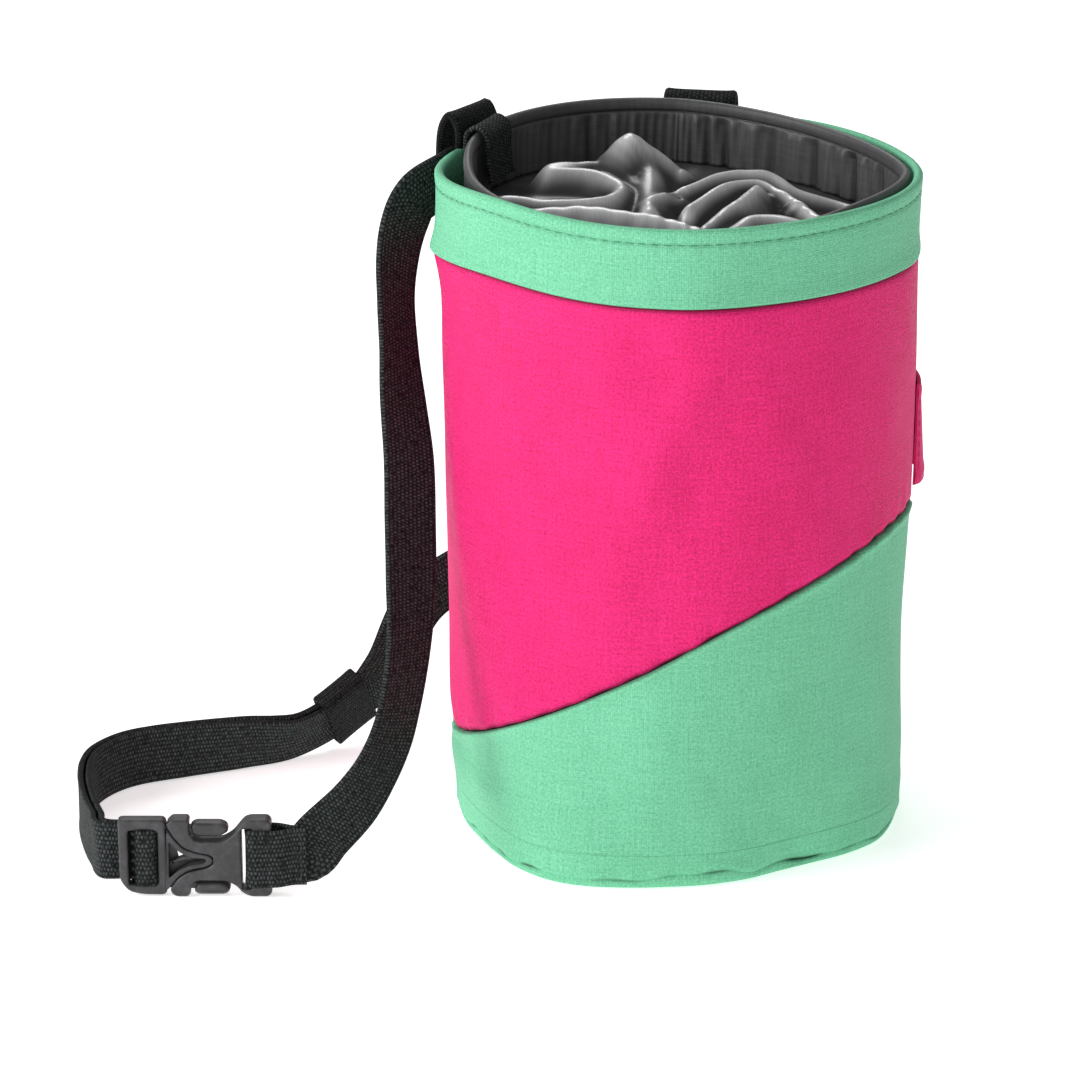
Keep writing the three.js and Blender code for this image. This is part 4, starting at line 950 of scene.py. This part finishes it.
tab_around, tab_width, tab_thickness = -113, 16, 1.2
tab_top = float(ring_top(np.array(float(tab_around))))
tab_out = CLEARANCE + tab_thickness / 2
tab_in = -RING_THICKNESS - RING_RUFFLE - CLEARANCE - tab_width ** 2 / (8 * HALF_WIDTH) - tab_thickness / 2
tab_rows = [(tab_out + RING_RUFFLE, -4), (tab_out + 0.3, 0),
            ((tab_out + tab_in) / 2, CLEARANCE + tab_thickness / 2 + 0.9), (tab_in - 0.2, 0),
            (tab_in - 0.7, -6.6), (tab_in - 1.6, -13.2)]
tab_places = np.array([off_plan(ring_plan, tab_around, tab_top + z, out) for out, z in tab_rows])
tab_outward = off_plan(ring_plan, tab_around, tab_top, 1) - off_plan(ring_plan, tab_around, tab_top, 0)
tab_ways = np.tile(np.array([-tab_outward[1], tab_outward[0], 0]), (len(tab_rows), 1))
tab_piece = strap_piece("ring_tab_webbing", tab_places, tab_ways, tab_width, tab_thickness, black_webbing,
                        step=0.5)
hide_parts("ring_tab")

# Brush sleeve
# A strip of pink canvas sewn along its two upright edges on the right side, with the slack between them for
# a brush handle. Its top and bottom edges are folded in and show a dark inside.
SLEEVE_START, SLEEVE_TURN = 85.5, 25
SLEEVE_LOW, SLEEVE_HEIGHT = 93, 28
SLEEVE_CLOTH = 1


def sleeve_stand(across, up):
    """How far the sleeve's inside stands off the wall, at a share of its width and of its height."""
    return CLEARANCE + 2.9 * (1 - 0.9 * up) * np.sin(np.pi * across) ** 0.7


sleeve_columns, sleeve_rows = 60, 40
u = np.linspace(0, 1, sleeve_columns)[:, None]
v = np.linspace(0, 1, sleeve_rows)[None, :]
sleeve_around = SLEEVE_START + SLEEVE_TURN * u
stand = sleeve_stand(u, v)
hem = 0.25 * (np.exp(-((v - 0.09) / 0.05) ** 2) + np.exp(-((v - 0.91) / 0.05) ** 2))
seam_press = 0.5 * (np.exp(-(u / 0.05) ** 2) + np.exp(-((u - 1) / 0.05) ** 2))
sleeve_z = SLEEVE_LOW + SLEEVE_HEIGHT * v + 0.4 * np.sin(np.pi * u)
front = on_wall(sleeve_around, sleeve_z, stand + SLEEVE_CLOTH + hem - seam_press)
back = on_wall(sleeve_around, sleeve_z, stand)
sleeve_points = np.concatenate([front, back[:, ::-1]], 1)
sleeve_up = np.linspace(0, SLEEVE_HEIGHT, sleeve_rows)
sleeve_way = np.concatenate([sleeve_up, sleeve_up[::-1] + SLEEVE_HEIGHT + 2])
sleeve_steps = np.linspace(0, 36, sleeve_columns)
sleeve_lengths = np.stack(np.broadcast_arrays(sleeve_steps[:, None], np.append(sleeve_way, 0)[None, :]),
                          -1) * MM
sleeve_piece = cloth_piece("brush_sleeve_canvas", sleeve_points, sleeve_lengths, pink_canvas,
                           wrap=(False, True), ends=True)
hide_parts("brush_loop")
pink_thread = sewing_thread("pink_thread", (0.6, 0.02, 0.13))
for edge_name, share in (("front", 0.048), ("back", 0.952)):
    edge_around = SLEEVE_START + SLEEVE_TURN * share
    edge_z = np.linspace(SLEEVE_LOW + 1, SLEEVE_LOW + SLEEVE_HEIGHT - 1, 30)
    sewn_out = sleeve_stand(share, (edge_z - SLEEVE_LOW) / SLEEVE_HEIGHT) + SLEEVE_CLOTH - 0.2
    line = on_wall(edge_around, edge_z, sewn_out)
    away = on_wall(edge_around, edge_z, sewn_out + 1) - line
    thread_row("sleeve_" + edge_name + "_stitching", line, away, pink_thread, stitch=2.2,
               gap=0.6)

# Waist belt
# One strap of 16 mm webbing: sewn round the buckle's bar, up along the bag, through both loops behind it,
# down in a bight and back along the floor to the buckle's ladder. Route tables are in millimetres and
# shares, as in the CAD.
BELT_WIDTH, BELT_THICKNESS = 16, 1.5
BUCKLE_LENGTH, BUCKLE_WIDTH, FRAME_THICKNESS, BAR_THICKNESS = 40, 21.5, 4, 2.2
BUCKLE_LEFT = -HALF_WIDTH - 44.2 - BUCKLE_LENGTH
BUCKLE_FORWARD = 1.016 * HALF_DEPTH
FEMALE_SLOT, INNER_SLOT, OUTER_SLOT, LADDER = 33.7, 9.6, 4, 6.8
UP, DOWN = (0, 0, 1), (0, 0, -1)


def at_buckle(x, y, z=0):
    return (BUCKLE_LEFT + x, -BUCKLE_FORWARD + y, BUCKLE_WIDTH / 2 + z)


layer = BELT_THICKNESS / 2 + CLEARANCE / 2
round_bar = FRAME_THICKNESS / 2 + CLEARANCE + BELT_THICKNESS / 2
sewn_end = [(BUCKLE_LENGTH + 9, -layer), (BUCKLE_LENGTH + 5.5, -layer - 0.2),
            (BUCKLE_LENGTH + 1.6, 0.3 - round_bar),
            (BUCKLE_LENGTH - 1.5, -round_bar), (FEMALE_SLOT + 1, -round_bar), (FEMALE_SLOT, 0),
            (FEMALE_SLOT + 1, round_bar), (BUCKLE_LENGTH - 1.5, round_bar),
            (BUCKLE_LENGTH + 1.6, round_bar - 0.3),
            (BUCKLE_LENGTH + 5.5, layer + 0.2), (BUCKLE_LENGTH + 9, layer)]
belt_stops = [(at_buckle(x, y), UP) for x, y in sewn_end]
# Up beside the bag: distance left of its side, share of its half depth forward, share of its height, the
# way its width points, and how many degrees it is turned about its own length besides.
BELT_RISE = [
    (31, 0.99, 0.086, -0.3, 0, 1, 0), (22.6, 0.935, 0.13, -0.75, -0.1, 0.85, 12),
    (17.2, 0.855, 0.168, -0.9, -0.2, 0.6, 24), (13.1, 0.758, 0.212, -1, -0.3, 0.4, 28),
    (10.6, 0.66, 0.263, -1, -0.4, 0.2, 28), (8.8, 0.53, 0.332, -0.95, -0.5, 0.1, 20),
    (8.4, 0.387, 0.408, -0.9, -0.55, 0, 9), (8.7, 0.242, 0.485, -0.85, -0.6, 0, 3),
    (9.1, 0.129, 0.565, -0.8, -0.65, 0, 0), (10.7, 0.032, 0.648, -0.75, -0.7, 0, 4),
    (11.8, -0.065, 0.716, -0.65, -0.75, 0.05, 6), (12.6, -0.129, 0.787, -0.6, -0.75, 0.1, 4),
    (12, -0.165, 0.853, -0.62, -0.65, 0.3, 0), (10.2, -0.19, 0.9, -0.6, -0.5, 0.6, 0),
    (7.4, -0.225, 0.932, -0.35, -0.3, 0.9, 0),
]
# Behind the bag: bearing, distance off the wall, share of its height, and the width's way out and up.
BELT_BACK = [
    (-110, 3.4, 0.95, 0, 1), (-120, 2.4, 0.953, 0, 1), (-136, 2, 0.948, 0, 1), (-155, 2, 0.938, 0, 1),
    (188, 2, 0.928, 0, 1), (172, 2.1, 0.918, 0, 1), (160, 2.8, 0.903, 0, 1), (150, 5.5, 0.875, 0.25, 1),
    (142, 9.5, 0.83, 0.6, 0.75), (136, 12.5, 0.765, 0.95, 0.3), (133.5, 14, 0.69, 1, 0),
    (134, 14, 0.615, 1, -0.1),
    (138, 13, 0.55, 1, -0.35), (146, 11, 0.495, 0.8, -0.65), (157, 8.5, 0.455, 0.45, -0.9),
    (170, 6, 0.425, 0.2, -1), (187, 4, 0.395, 0, -1), (204, 3.6, 0.36, 0, -1), (217, 7, 0.318, 0, -1),
]
# Down and along the floor, with the columns of BELT_RISE. A row with no height stands on its edge on the
# floor.
BELT_RETURN = [
    (6.5, -0.79, 0.235, 0.3, 0, -1, -8), (18, -0.7, 0.125, 0.35, 0, -1, -18),
    (29.5, -0.6, 0.068, 0.15, 0, -1, -28), (42, -0.47, 0.0415, 0, 0, -1, -28),
    (56, -0.37, 0.045, 0, 0, -1, -15), (72, -0.28, None, 0, 0, -1, -5), (87, -0.17, None, 0, 0, -1, 0),
    (95, 0.02, None, 0, 0, -1, 0), (96, 0.27, None, 0, 0, -1, 0), (93.4, 0.54, None, 0, 0, -1, 0),
    (89.8, 0.78, 0.0515, 0, 0, -1, 0),
]


def free_stops(rows):
    return [((-HALF_WIDTH - out, -forward * HALF_DEPTH,
              BELT_WIDTH / 2 + CLEARANCE if up is None else up * BAG_HEIGHT), way)
            for out, forward, up, *way, turned in rows]


belt_turned = [0] * len(belt_stops) + [row[-1] for row in BELT_RISE] + [0] * len(BELT_BACK)
belt_turned += [row[-1] for row in BELT_RETURN]
belt_stops += free_stops(BELT_RISE)
for bearing, out, up, way_out, way_up in BELT_BACK:
    place = on_wall(bearing, up * BAG_HEIGHT, out)
    outward = on_wall(bearing, up * BAG_HEIGHT, out + 1) - place
    belt_stops.append((place, (outward[0] * way_out, outward[1] * way_out, way_up)))
floor_start = len(belt_stops)
belt_stops += free_stops(BELT_RETURN)
floor_end = len(belt_stops) - 1
behind_frame = FRAME_THICKNESS / 2 + CLEARANCE * 2 + BELT_THICKNESS * 1.5
over_ladder = BAR_THICKNESS / 2 + CLEARANCE + BELT_THICKNESS / 2
ladder_end = [(-3.2, behind_frame + 0.4), (2, behind_frame), (OUTER_SLOT + 2, behind_frame),
              (INNER_SLOT - 0.6, behind_frame - 1.6), (INNER_SLOT, 0),
              (INNER_SLOT - 0.9, -over_ladder * 0.85),
              (LADDER, -over_ladder), (OUTER_SLOT + 0.6, -over_ladder * 0.75)]
belt_stops += [(at_buckle(x, y), DOWN) for x, y in ladder_end]
belt_places = np.array([place for place, _ in belt_stops], float)
belt_ways = np.array([way for _, way in belt_stops], float)
_, across, out = strap_frame(belt_places, belt_ways, np.arange(len(belt_stops), dtype=float))
turned = np.radians(belt_turned + [0] * len(ladder_end))[:, None]
belt_ways = across * np.cos(turned) + out * np.sin(turned)
belt_piece = strap_piece("waist_belt_webbing", belt_places, belt_ways, BELT_WIDTH, BELT_THICKNESS,
                         black_webbing, step=0.9)
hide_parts("belt_webbing")

for row_name, x in (("near", BUCKLE_LENGTH + 4.6), ("far", BUCKLE_LENGTH + 7.6)):
    heights = np.linspace(-6.6, 6.6, 24)
    sewn = np.array([at_buckle(x, -layer - BELT_THICKNESS / 2 - 0.06, z) for z in heights])
    thread_row("belt_" + row_name + "_stitching", sewn, np.tile([0, -1, 0], (24, 1)), black_thread,
               stitch=1.5, gap=0.35, thread=0.4)

# Belt tail
# The strap's loose end, doubled back from the buckle's ladder along the belt's outer side and through the
# keeper.
tail_layer = BELT_THICKNESS + 0.7
beside_bar = FRAME_THICKNESS / 2 + CLEARANCE + BELT_THICKNESS / 2
tail_start = [(OUTER_SLOT, -0.4), (OUTER_SLOT, beside_bar * 0.35), (OUTER_SLOT - 0.35, beside_bar * 0.7),
              (OUTER_SLOT - 1.3, beside_bar * 0.95), (1.2, beside_bar), (-1, beside_bar)]
tail_places = [at_buckle(x, y) for x, y in tail_start]
tail_ways = [DOWN] * len(tail_start)
beside = np.arange(floor_end + 1, floor_start + 1 + 0.3 - 1e-6, -0.5)
middle, across, out = strap_frame(belt_places, belt_ways, beside)
tail_places = np.vstack([tail_places, middle - out * tail_layer])
tail_ways = np.vstack([tail_ways, across])
tail_piece = strap_piece("belt_tail_webbing", tail_places, tail_ways, BELT_WIDTH, BELT_THICKNESS,
                         black_webbing, step=0.9)
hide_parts("belt_tail")

# Belt keeper
# A short sleeve of thin webbing sewn round both layers of the belt, a little wider than they are.
keeper_stop = np.array([floor_start + 1.9])
middle, across, out = (rows[0] for rows in strap_frame(belt_places, belt_ways, keeper_stop))
length_way = np.cross(across, out)
keeper_length, keeper_thickness, room = 14, 1.2, 0.5
wide, thick = BELT_WIDTH / 2 + room, (tail_layer + BELT_THICKNESS) / 2 + room
turns = np.radians(np.arange(0, 360, 5))
outline = np.stack([np.sign(np.cos(turns)) * np.abs(np.cos(turns)) ** 0.3,
                    np.sign(np.sin(turns)) * np.abs(np.sin(turns)) ** 0.45], -1)
keeper_points = []
rim_steps = [(-1, 0.25), (-0.97, 0.85), (-0.9, 1.0), (-0.5, 0.92), (0, 0.9), (0.5, 0.92), (0.9, 1.0),
             (0.97, 0.85),
             (1, 0.25), (0.9, 0), (0, 0), (-0.9, 0)]
for along, grow in rim_steps:
    ring = outline * (np.array([wide, thick]) + keeper_thickness * grow)
    keeper_points.append(middle - out * tail_layer / 2 + across * ring[:, :1] + out * ring[:, 1:]
                         + length_way * along * keeper_length / 2)
keeper_points = np.stack(keeper_points, 1)
round_way = np.concatenate([[0], np.cumsum(np.linalg.norm(np.roll(keeper_points[:, 4], -1, 0)
                                                          - keeper_points[:, 4], axis=1))])
along_way = np.array([along for along, _ in rim_steps] + [rim_steps[0][0]]) * keeper_length / 2
keeper_lengths = np.stack(np.broadcast_arrays(round_way[:, None], along_way[None, :]), -1) * MM
keeper_piece = cloth_piece("belt_keeper_webbing", keeper_points, keeper_lengths, loop_webbing)
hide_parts("belt_keeper")

# Buckle
# A side-release buckle of moulded black plastic, standing on its long edge: a frame with a ladder bar and
# two springy arms on the left, fastened into a waisted housing with a V mouth on the right. Every edge is
# rounded.


def moulded_plastic():
    """Moulded acetal: dark, half matt, with a fine grain from the mould and worn, lighter high spots."""
    material, tree, surface = new_material("black_plastic")
    place = node(tree, "TexCoord").outputs["Object"]
    grain = node(tree, "TexNoise", {"Vector": place, "Scale": 2600, "Detail": 2}).outputs[0]
    scuffs = node(tree, "TexNoise",
                  {"Vector": place, "Scale": 220, "Detail": 4, "Roughness": 0.7}).outputs[0]
    worn = node(tree, "MapRange", {"Value": scuffs, "From Min": 0.45, "From Max": 0.75}).outputs[0]
    colour = node(tree, "Mix", {0: worn, 6: (0.030, 0.030, 0.032, 1), 7: (0.075, 0.075, 0.08, 1)},
                  data_type="RGBA")
    tree.links.new(colour.outputs[2], surface.inputs["Base Color"])
    rough = node(tree, "MapRange", {"Value": scuffs, "To Min": 0.36, "To Max": 0.56}).outputs[0]
    tree.links.new(rough, surface.inputs["Roughness"])
    bump = node(tree, "Bump", {"Strength": 0.2, "Distance": 0.00008, "Height": grain})
    tree.links.new(bump.outputs[0], surface.inputs["Normal"])
    return material


black_plastic = moulded_plastic()


def softened(corners, rounding):
    """A closed outline with each corner cut to a small arc, from its corner points as length and height."""
    corners = np.array(corners, float)
    outline = []
    for n, corner in enumerate(corners):
        before, after = corners[n - 1] - corner, corners[(n + 1) % len(corners)] - corner
        reach = min(rounding, 0.48 * np.linalg.norm(before), 0.48 * np.linalg.norm(after))
        start = corner + before / np.linalg.norm(before) * reach
        end = corner + after / np.linalg.norm(after) * reach
        for t in np.linspace(0, 1, 6):
            outline.append((1 - t) ** 2 * start + 2 * t * (1 - t) * corner + t ** 2 * end)
    return np.array(outline)


def moulded_plate(outlines, thickness, edge, forward=0.0):
    """A flat plate of plastic in the buckle's own axes, from its outline and its holes, with round
    edges."""
    curve = bpy.data.curves.new("plate", "CURVE")
    curve.dimensions = "2D"
    curve.fill_mode = "BOTH"
    curve.extrude = (thickness / 2 - edge) * MM
    curve.bevel_depth = edge * MM
    curve.bevel_resolution = 3
    curve.offset = -edge * MM
    for outline in outlines:
        spline = curve.splines.new("POLY")
        spline.points.add(len(outline) - 1)
        flat = np.zeros((len(outline), 4))
        flat[:, :2] = outline * MM
        flat[:, 3] = 1
        spline.points.foreach_set("co", flat.ravel())
        spline.use_cyclic_u = True
    holder = bpy.data.objects.new("plate", curve)
    bpy.context.scene.collection.objects.link(holder)
    mesh = bpy.data.meshes.new_from_object(holder.evaluated_get(bpy.context.evaluated_depsgraph_get()))
    bpy.data.objects.remove(holder)
    bpy.data.curves.remove(curve)
    corners = np.zeros(len(mesh.vertices) * 3)
    mesh.vertices.foreach_get("co", corners)
    corners = corners.reshape(-1, 3) / MM
    places = np.stack([BUCKLE_LEFT + corners[:, 0], -BUCKLE_FORWARD - corners[:, 2] - forward,
                       corners[:, 1]], -1)
    faces = [list(face.vertices) for face in mesh.polygons]
    bpy.data.meshes.remove(mesh)
    return places, faces


def buckle_piece(name, plates, replaced):
    corners, faces = [], []
    for places, plate_faces in plates:
        faces += [[index + len(corners) for index in face] for face in plate_faces]
        corners += (places * MM).tolist()
    mesh = bpy.data.meshes.new(name)
    mesh.from_pydata(corners, [], faces)
    mesh.polygons.foreach_set("use_smooth", [True] * len(mesh.polygons))
    mesh.materials.append(black_plastic)
    piece = place_piece(name, mesh)
    weld = piece.modifiers.new("weld", "WELD")
    weld.merge_threshold = 0.00001
    piece.modifiers.new("even shading", "WEIGHTED_NORMAL").keep_sharp = True
    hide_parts(replaced)


# Outlines in millimetres from the buckle's left end and from the floor.
mouth_line = [(12.7, 19.9), (14.6, 16.5), (17.1, 13.6), (20.5, 12.3), (23.7, 11.7), (24.9, 10.8),
              (24.9, 9.1),
              (23.1, 7.9), (18.4, 6.9), (15.5, 5), (13.2, 1.7)]
tongue_line = [(12.4, 19.6), (14.4, 16.2), (17.0, 13.3), (20.4, 12), (23.6, 11.4), (24.6, 10.6),
               (24.6, 9.2),
               (23, 8.2), (18.4, 7.2), (15.4, 5.3), (12.9, 1.9), (12.2, 1.9), (12.2, 19.6)]
frame_outline = softened([(0, 20.9), (0.2, 4.4), (2.4, 1.2), (6, 0.3), (12.6, 0.2), (12.6, 21.3),
                          (1, 21.3)], 1.6)
window = softened([(2.6, 18.2), (2.6, 3.0), (10.3, 3.0), (10.3, 18.2)], 0.9)
backing = softened([(12.2, 4), (12.2, 16.4), (14.6, 13.6), (15.2, 11.4), (15.6, 9.6), (23, 9.4), (23, 8.2),
                    (15, 6)], 0.5)
tongue = softened(tongue_line, 1.2)
tongue_hole = softened([(13.2, 15.2), (15.6, 12.6), (18.6, 10.7), (22.8, 10.4), (22.8, 9.3), (18.6, 8.6),
                        (15.4, 7), (13.2, 5)], 0.8)
ladder_bar = softened([(5.7, 1.2), (7.9, 1.2), (7.9, 19.4), (5.7, 19.4)], 0.6)
prong = softened([(13, 8.6), (17.2, 9.5), (21.8, 10.1), (21.8, 10.9), (17.2, 10.9), (14.6, 9.9)], 0.6)
top_button = softened([(18.9, 19.6), (19.3, 17.6), (20.6, 16.6), (26.6, 16.6), (28.9, 18), (28.6, 19.6),
                       (27, 20.5), (20.2, 20.5)], 1.4)
low_button = softened([(20.3, 3.5), (27.2, 3.6), (29.3, 2.4), (28.6, 0.9), (27.4, 0.4), (20.8, 0.4),
                       (19.6, 1.2)], 1.2)
top_arm = softened([(12.2, 17.6), (17, 17), (20, 17), (20, 19), (17, 19.6), (12.2, 19.6)], 0.5)
low_arm = softened([(12.2, 2), (17, 2), (21, 1.6), (21, 3.2), (17, 4.2), (12.2, 4.2)], 0.5)
buckle_piece("buckle_male_moulding", [
    moulded_plate([frame_outline, window], FRAME_THICKNESS, 0.75),
    moulded_plate([tongue, tongue_hole], 4.4, 0.45),
    moulded_plate([ladder_bar], BAR_THICKNESS, 0.6),
    moulded_plate([prong], 2.2, 0.7), moulded_plate([backing], 0.8, 0.2, -1.4),
    moulded_plate([top_button], 4.6, 1.3), moulded_plate([low_button], 4.6, 1.1),
    moulded_plate([top_arm], 2.4, 0.4), moulded_plate([low_arm], 2.4, 0.4),
], "buckle_male")

housing = softened([(13.2, 20.6), (14.2, 21.5), (18.2, 21.5), (18.7, 20.8), (18.4, 18.4), (19.6, 16.2),
                    (21.2, 15.4),
                    (27.4, 15.5), (30, 17.2), (31.6, 19.3), (33, 21), (34.6, 21.5), (39, 21.5), (40, 20.5),
                    (40, 1), (39, 0), (34.4, 0), (32.4, 0.9), (30.8, 2.9), (28.2, 4.4), (20.4, 4.5),
                    (19, 3.2),
                    (18.7, 0.9), (18, 0), (14.6, 0)] + mouth_line[::-1], 1.1)
slot = softened([(32.2, 2), (34.9, 2), (34.9, 18.9), (32.2, 18.9)], 0.5)
buckle_piece("buckle_female_moulding", [moulded_plate([housing, slot], 5.2, 0.6)], "buckle_female")

# Studio
# A plain white floor that runs to the horizon, and large soft lights: the strongest from the upper left, a
# weak one in front, one behind, and an even room. The paper glows a little, as a lit backdrop does.
floor_mesh = bpy.data.meshes.new("studio_floor")
floor_mesh.from_pydata([(-6, -6, 0), (6, -6, 0), (6, 6, 0), (-6, 6, 0)], [], [(0, 1, 2, 3)])
floor = bpy.data.objects.new("studio_floor", floor_mesh)
floor.location.z = -0.0002
bpy.context.scene.collection.objects.link(floor)
paper = bpy.data.materials.new("studio_paper")
paper.use_nodes = True
paper_surface = paper.node_tree.nodes["Principled BSDF"]
paper_surface.inputs["Base Color"].default_value = (0.9, 0.9, 0.9, 1)
paper_surface.inputs["Roughness"].default_value = 0.9
paper_surface.inputs["Specular IOR Level"].default_value = 0.1
paper_surface.inputs["Emission Color"].default_value = (1, 1, 1, 1)
paper_surface.inputs["Emission Strength"].default_value = 0.6
floor_mesh.materials.append(paper)

room = bpy.data.worlds.new("studio_room")
room.use_nodes = True
room.node_tree.nodes["Background"].inputs["Color"].default_value = (1, 1, 1, 1)
room.node_tree.nodes["Background"].inputs["Strength"].default_value = 0.28
bpy.context.scene.world = room
bpy.context.scene.view_settings.view_transform = "Standard"


def soft_light(name, place, size, watts):
    lamp = bpy.data.objects.new(name, bpy.data.lights.new(name, "AREA"))
    lamp.data.shape = "DISK"
    lamp.data.size = size
    lamp.data.energy = watts
    lamp.location = place
    lamp.rotation_euler = (Vector((0, 0, 0.08)) - Vector(place)).to_track_quat("-Z", "Y").to_euler()
    bpy.context.scene.collection.objects.link(lamp)


soft_light("key_light", (-1.5, -0.65, 0.85), 1.1, 22)
soft_light("front_light", (-0.3, -1.7, 0.6), 0.9, 5)
soft_light("back_light", (-0.2, 1.0, 1.3), 0.8, 8)
